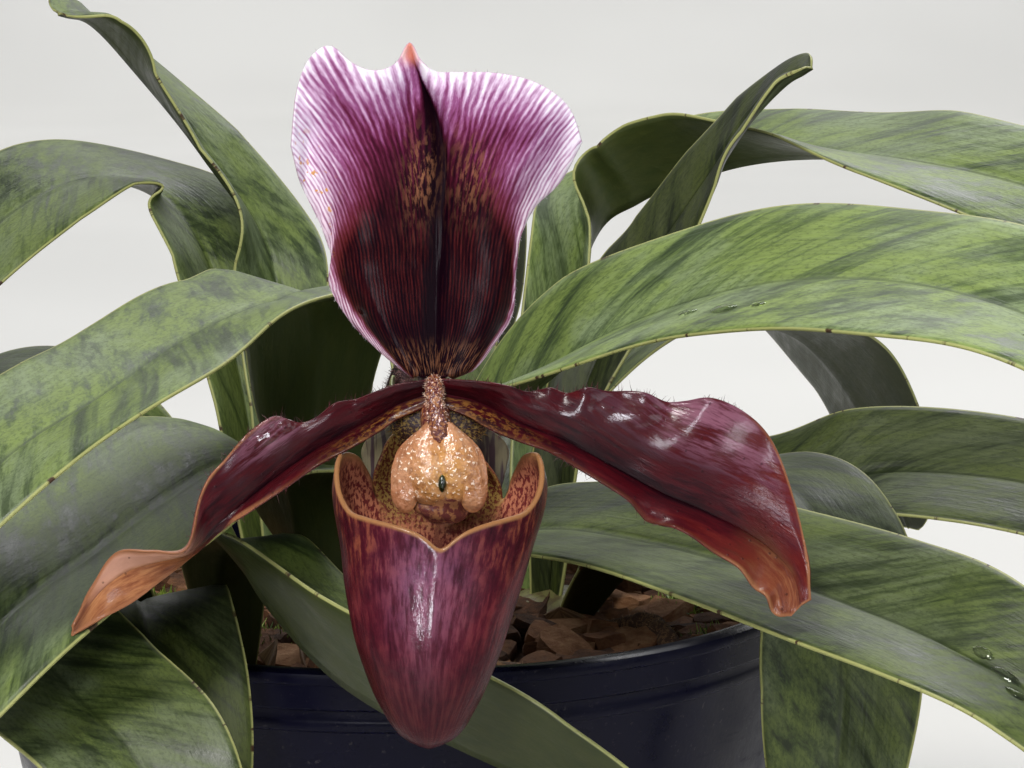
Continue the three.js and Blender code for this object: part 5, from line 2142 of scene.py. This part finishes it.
def all_leaves() -> list[Leaf]:
    """The sixteen leaves of the tuft.

    Returns:
        The leaves.
    """
    # Each leaf's last number is its tone: painted shade, standing in for how shaded it lies.
    rows = [
        Leaf(
            "leaf_right_upper", 36,
            ((5, -29, 102), (12, -34, 140), (30, -50, 167), (58, -75, 184), (84, -108, 190), (108, -131, 184),
             (134, -148, 166)),
            (0, -10, -34, -32, -26, -16, -8), (40, 48, 28, 12, 8, 8, 8), 0,
        ),
        Leaf(
            "leaf_right_lower", 32,
            ((8, -32, 102), (13, -36, 120), (19, -42, 133), (30, -53, 138), (44, -71, 140), (59, -98, 142),
             (74, -123, 142), (87, -141, 140), (100, -153, 134), (112, -163, 122)),
            (0, -6, -12, -16, -16, -18, -20, -24, -20, -14), (40, 34, 20, 12, 14, 12, 14, 18, 14, 10), 0.65,
        ),
        Leaf(
            "leaf_left_upper", 34,
            ((-9, -29, 102), (-14, -34, 144), (-13, -48, 177), (-20, -70, 181), (-32, -92, 178),
             (-42, -113, 173),
             (-55, -132, 166), (-67, -147, 152)),
            (0, 0, 0, 0, -2, 0, 6, 6), (40, 36, 14, 12, 10, 12, 10, 8), 0.3,
        ),
        Leaf(
            "leaf_left_lower", 38,
            ((-12, -32, 102), (-16, -36, 126), (-19, -44, 146), (-28, -61, 151), (-37, -81, 149),
             (-46, -103, 145),
             (-57, -130, 140), (-70, -149, 122)),
            (0, 4, 8, 8, 8, 8, 16, 16), (40, 36, 14, 14, 14, 16, 16, 10), 0.4,
        ),
        Leaf(
            "leaf_front_left", 34,
            ((-31, -34, 102), (-31, -44, 126), (-28, -58, 137), (-20, -75, 131), (-9, -89, 123),
             (2, -98, 118),
             (14, -104, 114), (26, -107, 109), (40, -110, 101), (54, -112, 90)),
            (0, 10, 20, 28, 26, 24, 24, 24, 22, 20), (40, 34, 20, 30, 42, 44, 42, 38, 34, 20), 0.45,
        ),
        Leaf(
            "leaf_front_hang", 30,
            ((-37, -42, 102), (-40, -54, 118), (-42, -68, 128), (-40, -85, 131), (-36, -100, 122),
             (-33, -110, 107),
             (-32, -115, 87)),
            (0, 0, 0, 0, 0, 0, 0), (40, 30, 16, 12, 10, 10, 8), 0.85,
        ),
        Leaf(
            "leaf_front_low", 30,
            ((-43, -34, 102), (-54, -46, 127), (-64, -72, 140), (-60, -102, 136), (-48, -121, 129),
             (-36, -133, 121),
             (-29, -142, 111), (-25, -148, 99)),
            (0, 0, -4, -10, -18, -20, -16, -12), (40, 36, 16, 8, 10, 14, 12, 10), 0.65,
        ),
        Leaf(
            "leaf_right_hang", 30,
            ((34, 9, 102), (44, -2, 118), (57, -13, 134), (70, -27, 141), (77, -42, 137), (80, -53, 125),
             (80, -59, 110), (79, -63, 92), (78, -65, 70)),
            (0, 0, 0, 0, 0, 0, 4, 4, 4), (40, 34, 20, 14, 12, 12, 10, 8, 6), 0.7,
        ),
        Leaf(
            "leaf_right_mid", 34,
            ((37, 16, 102), (47, 21, 117), (58, 20, 125), (71, 15, 130), (85, 8, 134), (99, 3, 137),
             (120, -7, 137), (136, -16, 133), (150, -26, 124)),
            (0, 0, -8, -14, -26, -28, -28, -24, -20), (40, 40, 32, 18, 20, 12, 6, 4, 4), 0.8,
        ),
        Leaf(
            "leaf_right_back", 38,
            ((26, 20, 102), (31, 46, 144), (39, 70, 174), (49, 72, 183), (62, 67, 189), (74, 59, 193),
             (88, 48, 195), (104, 31, 195), (122, 17, 192), (136, 6, 187), (150, -4, 176)),
            (0, 4, 10, 6, 4, 0, -4, -16, -24, -24, -20), (40, 50, 58, 50, 42, 30, 20, 14, 6, 4, 4), 0.15,
        ),
        Leaf(
            "leaf_right_tall", 22,
            ((29, 13, 102), (33, 19, 138), (44, 27, 166), (53, 29, 180), (62, 29, 193), (69, 27, 204),
             (76, 24, 212), (81, 21, 215)),
            (0, -6, -20, -24, -24, -24, -20, -20), (40, 30, 14, 12, 12, 12, 14, 14), 0.95,
        ),
        Leaf(
            "leaf_right_low", 36,
            ((20, 48, 102), (32, 60, 132), (56, 82, 152), (84, 102, 150), (104, 122, 128), (118, 136, 96)),
            (0, 0, 0, 0, 0, 0), (40, 34, 20, 12, 10, 8), 0.6,
        ),
        Leaf(
            "leaf_back_tall", 26,
            ((-25, 32, 102), (-26, 45, 142), (-30, 60, 172), (-44, 65, 194), (-57, 64, 211), (-66, 58, 222),
             (-72, 52, 224)),
            (0, 0, 0, 6, 10, 10, 10), (40, 34, 26, 20, 16, 12, 10), 0.4,
        ),
        Leaf(
            "leaf_back_left", 34,
            ((-29, 40, 102), (-35, 54, 140), (-44, 67, 170), (-55, 73, 184), (-68, 66, 188), (-80, 52, 184),
             (-93, 37, 172), (-106, 23, 150)),
            (0, 0, 0, 6, 12, 16, 14, 10), (40, 34, 24, 16, 12, 10, 8, 6), 0.5,
        ),
        Leaf(
            "leaf_back_far", 34,
            ((8, 51, 102), (7, 66, 142), (8, 92, 170), (8, 120, 176), (10, 146, 160), (14, 164, 134)),
            (0, 0, 0, 0, 0, 0), (40, 34, 20, 12, 10, 8), 0.5,
        ),
        Leaf(
            "leaf_back_low", 36,
            ((-32, 31, 102), (-52, 32, 127), (-80, 48, 146), (-106, 62, 140), (-126, 72, 118),
              (-138, 78, 88)),
            (0, 0, 0, 0, 0, 0), (40, 34, 20, 12, 10, 8), 0.5,
        ),
    ]
    for number, leaf in enumerate(rows):
        leaf.seed = number + 1
    return rows


@dataclass
class Growths:
    """The swollen feet of the growths, the rhizome between them, sheaths and roots."""

    foot: float = 90
    top: float = 110
    crowns: Sequence[tuple[str, float, float, float]] = (
        ("front", -2, -27, 14), ("left", -36, -35, 12), ("right", 31, 15, 12), ("back", -27, 35, 12),
        ("far", 13, 46, 11),
    )
    crown_rings: Knots = (
        (0.7, 0), (0.86, 0.15), (0.95, 0.3), (1, 0.45), (1, 0.6), (0.96, 0.75), (0.86, 0.88), (0.66, 0.97),
        (0.4, 1.02), (0.12, 1.05),
    )
    links: Sequence[tuple[int, int]] = ((1, 0), (0, 2), (2, 4), (4, 3))
    rhizome_radius: float = 5
    rhizome_level: float = 97
    root_radius: float = 2
    roots: Sequence[Knots] = (
        ((8, -34, 104), (20, -42, 109), (34, -48, 107), (44, -52, 96)),
        ((-10, -36, 104), (-16, -50, 110), (-18, -60, 107), (-17, -66, 96)),
        ((-44, -30, 103), (-56, -24, 109), (-63, -14, 106), (-65, -6, 94)),
        ((38, 6, 103), (48, -6, 109), (52, -20, 107), (50, -30, 95)),
        ((-34, 42, 103), (-44, 50, 109), (-54, 46, 107), (-60, 38, 95)),
        ((26, 8, 103), (16, 2, 109), (4, 6, 108), (-4, 12, 96)),
    )

    def crown(self, name: str, x: float, y: float, radius: float) -> Piece:
        """One swollen foot.

        Args:
            name: the growth's name.
            x: the foot's place to the right, in millimetres.
            y: the foot's place to the back.
            radius: the foot's radius.

        Returns:
            The foot.
        """
        height = self.top - self.foot
        rings = [(share * radius, self.foot + rise * height) for share, rise in self.crown_rings]
        piece = turned(f"crown_{name}", rings, 40)
        rows = coordinates(piece) / MM
        rows = rows * (1 + 0.03 * ripple(rows, 6, 111)[:, None] * [1, 1, 0]) + [x, y, 0]
        put_vertices(piece, rows * MM)
        put_marks(piece, {"blade": rows[:, [2, 0, 1]] * MM})
        smooth_shading(piece, 50)
        return piece

    def sheath(self, name: str, x: float, y: float, radius: float, turn: float, height: float) -> Piece:
        """A short dry scale that wraps part of a foot.

        Args:
            name: the piece's name.
            x: the foot's place to the right, in millimetres.
            y: the foot's place to the back.
            radius: the foot's radius.
            turn: which side of the foot it stands on, in radians.
            height: its tip's height.

        Returns:
            The scale.
        """

        def surface(u: Array, v: Array) -> Array:
            """Bends the scale round the foot.

            Args:
                u: places along it, from 0 to 1.
                v: places across it, from -1 to 1.

            Returns:
                A point for each place.
            """
            angle = turn + np.radians(62) * v * (1 - u**2.4)
            reach = radius + 0.7 + 1.6 * u**2
            z = self.rhizome_level + (height - self.rhizome_level) * u + 0.4 * np.sin(v * 9) * u
            return np.stack([x + reach * np.cos(angle), y + reach * np.sin(angle), z], axis=1)

        def marks(u: Array, v: Array, points: Array) -> Marks:
            """The direction of the scale's lines."""
            return {"blade": np.stack([u * 20, v * 14, np.full(len(u), turn * 9)], axis=1) * MM}

        return Sheet(name, surface, 24, 24, 0.7, marks=marks, in_bloom=False).build()

    def build(self) -> None:
        """Makes the feet, links, sheaths and roots."""
        flesh = StripedFinish("crown_flesh", shade(100, 98, 56), shade(82, 72, 44), 1.4, 0.52, 0.5).material()
        dry = StripedFinish("sheath_dry", shade(120, 94, 62), shade(92, 66, 42), 1.0, 0.5, 0.7).material()
        for name, x, y, radius in self.crowns:
            dress(self.crown(name, x, y, radius), flesh, ["rhizome_and_roots"])
            draw = np.random.default_rng(int(radius) * 100 + int(abs(x)))
            for k in range(4):
                turn = 2 * math.pi * k / 4 + draw.uniform(-0.4, 0.4)
                scale = self.sheath(f"sheath_{name}_{k + 1}", x, y, radius, turn, draw.uniform(106, 113))
                dress(scale, dry)
        for number, (a, b) in enumerate(self.links):
            (_, ax, ay, _), (_, bx, by, _) = self.crowns[a], self.crowns[b]
            middle = ((ax + bx) / 2, (ay + by) / 2, self.rhizome_level + 1)
            route = ((ax, ay, self.rhizome_level), middle, (bx, by, self.rhizome_level))
            link = Tube(f"rhizome_{number + 1}", route, self.link_radius, 40, 20).build()
            dress(link, flesh)
        self.build_roots()

    def link_radius(self, t: Array, angle: Array) -> Array:
        """The rhizome, ringed by old leaf scars."""
        ends = np.sqrt(np.clip(1 - (2 * t - 1) ** 10, 0, 1))
        return (self.rhizome_radius + 0.3 * np.sin(t * 60)) * ends

    def root_reach(self, t: Array, angle: Array) -> Array:
        """A thick root with closed ends."""
        uneven = 0.16 * np.sin(t * 31 + 2 * angle) + 0.1 * np.sin(t * 67)
        return (self.root_radius + uneven) * rounded_ends(t, 0.06)

    def build_roots(self) -> None:
        """Makes the roots with their brown fuzz."""
        skin = SpeckledFinish("root_skin", shade(118, 88, 56), shade(66, 44, 28), 0.9, 0.48, 0.85).material()
        fuzz = HairFinish("hair_root", shade(70, 48, 30), shade(170, 136, 96)).material()
        for number, route in enumerate(self.roots):
            tube = Tube(f"root_{number + 1}", route, self.root_reach, 70, 18)
            dress(tube.build(), skin)
            seeds = (120 + number, 130 + number)
            name = f"root_{number + 1}_fuzz"
            hairs = tube.hairs(name, 420, (0.03, 0.97), 0.4, (0.4, 0.9), 0.05, 0.5, seeds)
            dress(hairs, fuzz)


@dataclass
class BarkBed:
    """The bark mix: a packed bed, loose chips on it, and cushions of moss."""

    level: float = 105
    rise: float = 2.5
    foot: float = 2.7
    chips: int = 300
    chip_size: tuple[float, float, float] = (13, 8.5, 4.6)
    templates: int = 6
    moss_patches: Sequence[tuple[float, float, float]] = (
        (20, -56, 9), (-28, -12, 10), (58, 18, 9), (-52, 16, 11), (2, 20, 9), (34, 52, 10), (-12, 60, 9),
        (-58, -32, 7), (46, -34, 7), (62, -12, 6), (-6, 4, 7),
    )
    leaflets: int = 210
    wall_foot: tuple[float, float] = (56.2, 2.4)
    wall_top: tuple[float, float] = (78.5, 111)
    clearance: float = 0.6

    def inside(self, z: float) -> float:
        """The inside radius of the pot's wall at a height, with clearance."""
        (low_radius, low), (high_radius, high) = self.wall_foot, self.wall_top
        return low_radius + (z - low) / (high - low) * (high_radius - low_radius) - self.clearance

    def height(self, reach: Array) -> Array:
        """The bed's level at a distance from the middle."""
        return self.level + self.rise * (1 - reach / self.inside(self.level))

    def bed(self) -> Piece:
        """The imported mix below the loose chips.

        Returns:
            The bed.
        """
        outer = self.inside(self.level)
        rings = [
            (self.inside(self.foot), self.foot), (self.inside(50), 50), (self.inside(100), 100),
            (outer, self.level - 2.5),
        ]
        for share in (0.92, 0.84, 0.76, 0.68, 0.6, 0.52, 0.44, 0.36, 0.28, 0.2, 0.12, 0.04):
            rings.append((outer * share, self.level - 2 + self.rise * (1 - share)))
        piece = turned("bark_bed", rings, 96)
        rows = coordinates(piece) / MM
        top = rows[:, 2] > self.level - 3
        inner = np.hypot(rows[:, 0], rows[:, 1]) < outer - 0.5
        rows[:, 2] += np.where(top & inner, 0.9 * ripple(rows, 5, 140, 9), 0)
        put_vertices(piece, rows * MM)
        put_marks(piece, {"pick": np.full(len(rows), 0.1)})
        smooth_shading(piece, 40)
        return piece

    def chip(self, seed: int) -> Shape:
        """One broken chip: a block, cut finer and roughened.

        Args:
            seed: fixes the relief.

        Returns:
            The chip.
        """
        deselect_all()
        bpy.ops.mesh.primitive_cube_add(size=1)
        piece = bpy.context.active_object
        bpy.ops.object.mode_set(mode="EDIT")
        bpy.ops.mesh.select_all(action="SELECT")
        bpy.ops.mesh.subdivide(number_cuts=3)
        bpy.ops.object.mode_set(mode="OBJECT")
        rows = coordinates(piece)
        rows = rows * (1 - 0.22 * np.linalg.norm(rows, axis=1, keepdims=True) ** 2)
        rows = rows * self.chip_size
        draw = np.random.default_rng(seed)
        rows[:, :2] *= 1 + 0.16 * np.stack([ripple(rows, 6, seed), ripple(rows, 5, seed + 50)], axis=1)
        rows[:, 2] += 0.5 * ripple(rows[:, :2], 4, seed + 90) + 0.012 * draw.uniform(-1, 1) * rows[:, 0] ** 2
        put_vertices(piece, rows)
        return Shape.taken_from(piece)

    def turns(self, count: int, draw: np.random.Generator, tilt: float) -> Array:
        """A random turn for each copy, mostly lying flat.

        Args:
            count: how many copies.
            draw: the source of random numbers.
            tilt: how far they lean.

        Returns:
            Three rows for each copy.
        """
        spin = draw.uniform(0, 2 * math.pi, count)
        lean = draw.normal(scale=tilt, size=(count, 2))
        axes = np.zeros((count, 3, 3))
        axes[:, 0] = np.stack([np.cos(spin), np.sin(spin), lean[:, 0]], axis=1)
        axes[:, 0] = unit(axes[:, 0])
        up = unit(np.stack([lean[:, 1] * -np.sin(spin), lean[:, 1] * np.cos(spin), np.ones(count)], axis=1))
        axes[:, 1] = unit(np.cross(up, axes[:, 0]))
        axes[:, 2] = np.cross(axes[:, 0], axes[:, 1])
        return axes

    def loose_chips(self) -> None:
        """Strews the chips over the bed."""
        draw = np.random.default_rng(150)
        numbers = np.arange(self.chips)
        reach = (self.inside(self.level) - 6.5) * np.sqrt((numbers + 0.5) / self.chips)
        angle = numbers * math.pi * (3 - math.sqrt(5)) + draw.normal(scale=0.06, size=self.chips)
        z = self.height(reach) - 0.6 + draw.uniform(-0.6, 2.2, self.chips)
        places = np.stack([reach * np.cos(angle), reach * np.sin(angle), z], axis=1)
        axes = self.turns(self.chips, draw, 0.2) * draw.uniform(0.55, 1.15, self.chips)[:, None, None]
        bark = BarkFinish().material()
        dress(self.bed(), bark, ["bark_mix"])
        for kind in range(self.templates):
            chosen = numbers % self.templates == kind
            piece = self.chip(160 + kind).copies(f"bark_chips_{kind + 1}", places[chosen], axes[chosen])
            smooth_shading(piece, 35)
            dress(piece, bark)

    def moss(self) -> None:
        """Grows small cushions of moss between the chips."""
        draw = np.random.default_rng(170)
        roots, aims = [], []
        for x, y, radius in self.moss_patches:
            reach = radius * np.sqrt(draw.random(self.leaflets)) * draw.uniform(0.7, 1.1, self.leaflets)
            angle = draw.uniform(0, 2 * math.pi, self.leaflets)
            offset = np.stack([reach * np.cos(angle), reach * np.sin(angle)], axis=1)
            z = self.height(np.hypot(x + offset[:, 0], y + offset[:, 1])) + 1.2 * (1 - (reach / radius) ** 2)
            roots.append(np.column_stack([offset + [x, y], z]))
            lean = np.column_stack([offset / radius * 0.8, np.ones(self.leaflets)])
            aims.append(lean + draw.normal(scale=0.45, size=lean.shape))
        places, directions = np.concatenate(roots), np.concatenate(aims)
        lengths = draw.uniform(1.6, 3.4, len(places))
        piece = plant_hairs("moss", places, directions, lengths, 0.34, 0.5, 171)
        dress(piece, HairFinish("moss_green", shade(54, 74, 22), shade(134, 156, 58)).material())

    def build(self) -> None:
        """Makes the mix and the moss."""
        self.loose_chips()
        self.moss()


@dataclass
class Pot:
    """The plain plastic pot, with a rim band, a fine bead, and drain holes."""

    outline: Knots = (
        (52, 0.9), (54.5, 0), (57, 0), (58, 1.2), (58.3, 3), (79.5, 108.6), (80.1, 109.1), (80.3, 109.9),
        (80.1, 110.7), (79.95, 111.2), (80.1, 112.6), (81.5, 113), (82, 113.5), (82, 117.4), (82.5, 117.9),
        (82.6, 118.8), (82.3, 119.6), (81.5, 120), (79.4, 120), (78.8, 119.7), (78.5, 119), (78.5, 111),
        (56.2, 2.6), (55, 2.4), (20, 2.4), (4, 2.4),
    )
    holes: int = 6
    hole_radius: float = 5
    hole_ring: float = 38

    def build(self) -> None:
        """Raises the pot from a disc and drills it."""
        pot = turned("pot_body", self.outline, 144)
        for number in range(self.holes):
            angle = 2 * math.pi * number / self.holes
            deselect_all()
            place = (self.hole_ring * math.cos(angle) * MM, self.hole_ring * math.sin(angle) * MM, 0.001)
            bpy.ops.mesh.primitive_cylinder_add(
                vertices=32, radius=self.hole_radius * MM, depth=0.012, location=place
            )
            drill = bpy.context.active_object
            cut = pot.modifiers.new("Hole", "BOOLEAN")
            cut.operation = "DIFFERENCE"
            cut.solver = "EXACT"
            cut.object = drill
            apply_modifier(pot, "Hole")
            bpy.data.objects.remove(drill)
        smooth_shading(pot, 32)
        dress(pot, PotFinish().material(), ["pot"])


@dataclass
class Water:
    """Drops and small pools on the leaves."""

    drops: Sequence[tuple[int, float, float, float]] = (
        (0, 0.492, 0.48, 1.0), (0, 0.534, 0.55, 1.4), (0, 0.565, 0.52, 0.9), (0, 0.8, 0.4, 0.5),
        (1, 0.807, -0.12, 0.9), (1, 0.837, -0.01, 1.3), (1, 0.86, 0.2, 0.9), (1, 0.88, -0.1, 0.6),
        (6, 0.8, 0.2, 0.6),
    )

    def drop(self, segments: int, rings: int) -> Shape:
        """One round drop of radius 1.

        Args:
            segments: corners around.
            rings: rings from pole to pole.

        Returns:
            The drop.
        """
        deselect_all()
        bpy.ops.mesh.primitive_uv_sphere_add(segments=segments, ring_count=rings, radius=1)
        return Shape.taken_from(bpy.context.active_object)

    def build(self, leaves: Sequence[Leaf]) -> None:
        """Sets each drop on its leaf: (leaf, along, across, size).

        Args:
            leaves: the leaves, in their order.
        """
        places, axes = [], []
        for number, u, v, size in self.drops:
            leaf = leaves[number]
            at, across = np.array([u]), np.array([v])
            up = -normals_of(leaf.surface, at, across)[0]
            run = unit(leaf.surface(at + 0.01, across) - leaf.surface(at, across))[0]
            side = np.cross(up, run)
            places.append(leaf.surface(at, across)[0] + up * 0.6)
            axes.append([run * size * 2.2, side * size, up * 0.45 * size])
        piece = self.drop(24, 14).copies("water_drops", np.array(places), np.array(axes))
        smooth_shading(piece)
        dress(piece, WaterFinish().material())


# Floor, light and camera


@dataclass
class Studio:
    """The plain pale floor, soft lights, and the camera at the photograph's angle."""

    camera_place: tuple[float, float, float] = (0.02185, -0.57314, 0.25629)
    camera_tilt: float = 80
    focal_length: float = 105.47
    sweep_from: float = 2.4
    sweep_radius: float = 0.8
    floor_near: float = -3
    floor_length: float = 8
    floor_half_width: float = 3

    def floor(self) -> None:
        """A floor that curves up into a wall far behind."""
        deselect_all()
        bpy.ops.mesh.primitive_grid_add(x_subdivisions=8, y_subdivisions=80, size=2)
        piece = bpy.context.active_object
        piece.name = "studio_floor"
        flat = coordinates(piece)
        run = (flat[:, 1] + 1) / 2 * self.floor_length + self.floor_near
        past = np.clip(run - self.sweep_from, 0, None)
        bend = np.clip(past / self.sweep_radius, 0, math.pi / 2)
        y = np.minimum(run, self.sweep_from) + self.sweep_radius * np.sin(bend)
        z = self.sweep_radius * (1 - np.cos(bend)) + np.clip(past - self.sweep_radius * math.pi / 2, 0, None)
        put_vertices(piece, np.stack([flat[:, 0] * self.floor_half_width, y, z - 0.0001], axis=1))
        smooth_shading(piece)
        piece.data.materials.append(BackdropFinish().material())

    def lamp(
        self, name: str, place: Sequence[float], size: Sequence[float], power: float, tint: Colour,
        target: Sequence[float] = BLOOM_CENTRE * MM,
    ) -> None:
        """Hangs a soft oblong light, aimed at the bloom or another target.

        Args:
            name: the light's name.
            place: where it is.
            size: its width and height.
            power: its power in watts.
            tint: its colour.
            target: what it is aimed at.
        """
        light = bpy.data.lights.new(name, "AREA")
        light.shape = "RECTANGLE"
        light.size, light.size_y = size
        light.energy = power
        light.color = tint[:3]
        lamp = bpy.data.objects.new(name, light)
        bpy.context.scene.collection.objects.link(lamp)
        away = unit(np.array(place) - np.array(target))
        yaw = math.atan2(away[1], away[0]) + math.pi / 2
        lamp.location = place
        lamp.rotation_euler = (math.acos(away[2]), 0, yaw)

    def build(self) -> None:
        """Sets up the floor, lights, world and camera."""
        self.floor()
        self.lamp("key_light", (-0.22, -0.56, 0.95), (0.22, 0.22), 7.2, (1, 0.97, 0.93, 1))
        self.lamp("front_light", (-0.1, -0.97, 0.5), (0.1, 0.26), 3.3, (0.93, 0.93, 1, 1))
        self.lamp("fill_light", (0.9, -0.9, 0.6), (0.7, 0.7), 2.4, (0.9, 0.94, 1, 1))
        self.lamp("back_light", (0.5, 0.9, 0.95), (0.6, 0.6), 5, (1, 1, 1, 1))
        self.lamp("wall_light", (0, 1.9, 2.4), (2.4, 1.2), 44, (1, 1, 1, 1), (0, 2.4, 0))
        world = bpy.data.worlds.new("studio_air")
        world.use_nodes = True
        world.node_tree.nodes["Background"].inputs["Color"].default_value = (0.9, 0.93, 1, 1)
        world.node_tree.nodes["Background"].inputs["Strength"].default_value = 0.26
        bpy.context.scene.world = world
        camera = bpy.data.cameras.new("photo_camera")
        camera.lens = self.focal_length
        camera.sensor_width = 36
        camera.clip_start = 0.01
        holder = bpy.data.objects.new("photo_camera", camera)
        bpy.context.scene.collection.objects.link(holder)
        holder.location = self.camera_place
        holder.rotation_euler = (math.radians(self.camera_tilt), 0, 0)
        bpy.context.scene.camera = holder
        bpy.context.scene.view_settings.view_transform = "Standard"


def main() -> None:
    """Builds the plant around the frame, piece by piece."""
    logging.basicConfig(level=logging.INFO, format="%(name)s: %(message)s")
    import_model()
    Studio().build()
    petal_finish = PetalFinish().material()
    hair = HairFinish("hair_dark", shade(24, 8, 14), shade(92, 40, 48)).material()
    DorsalSepal().build()
    for petal in (right_petal(), left_petal()):
        petal.build(petal_finish, hair)
    Pouch().build()
    Column().build()
    Synsepal().build()
    FlowerStalk().build()
    green = LeafFinish().material()
    leaves = all_leaves()
    for leaf in leaves:
        leaf.build(green)
    Water().build(leaves)
    Growths().build()
    BarkBed().build()
    Pot().build()


if __name__ == "__main__":
    main()
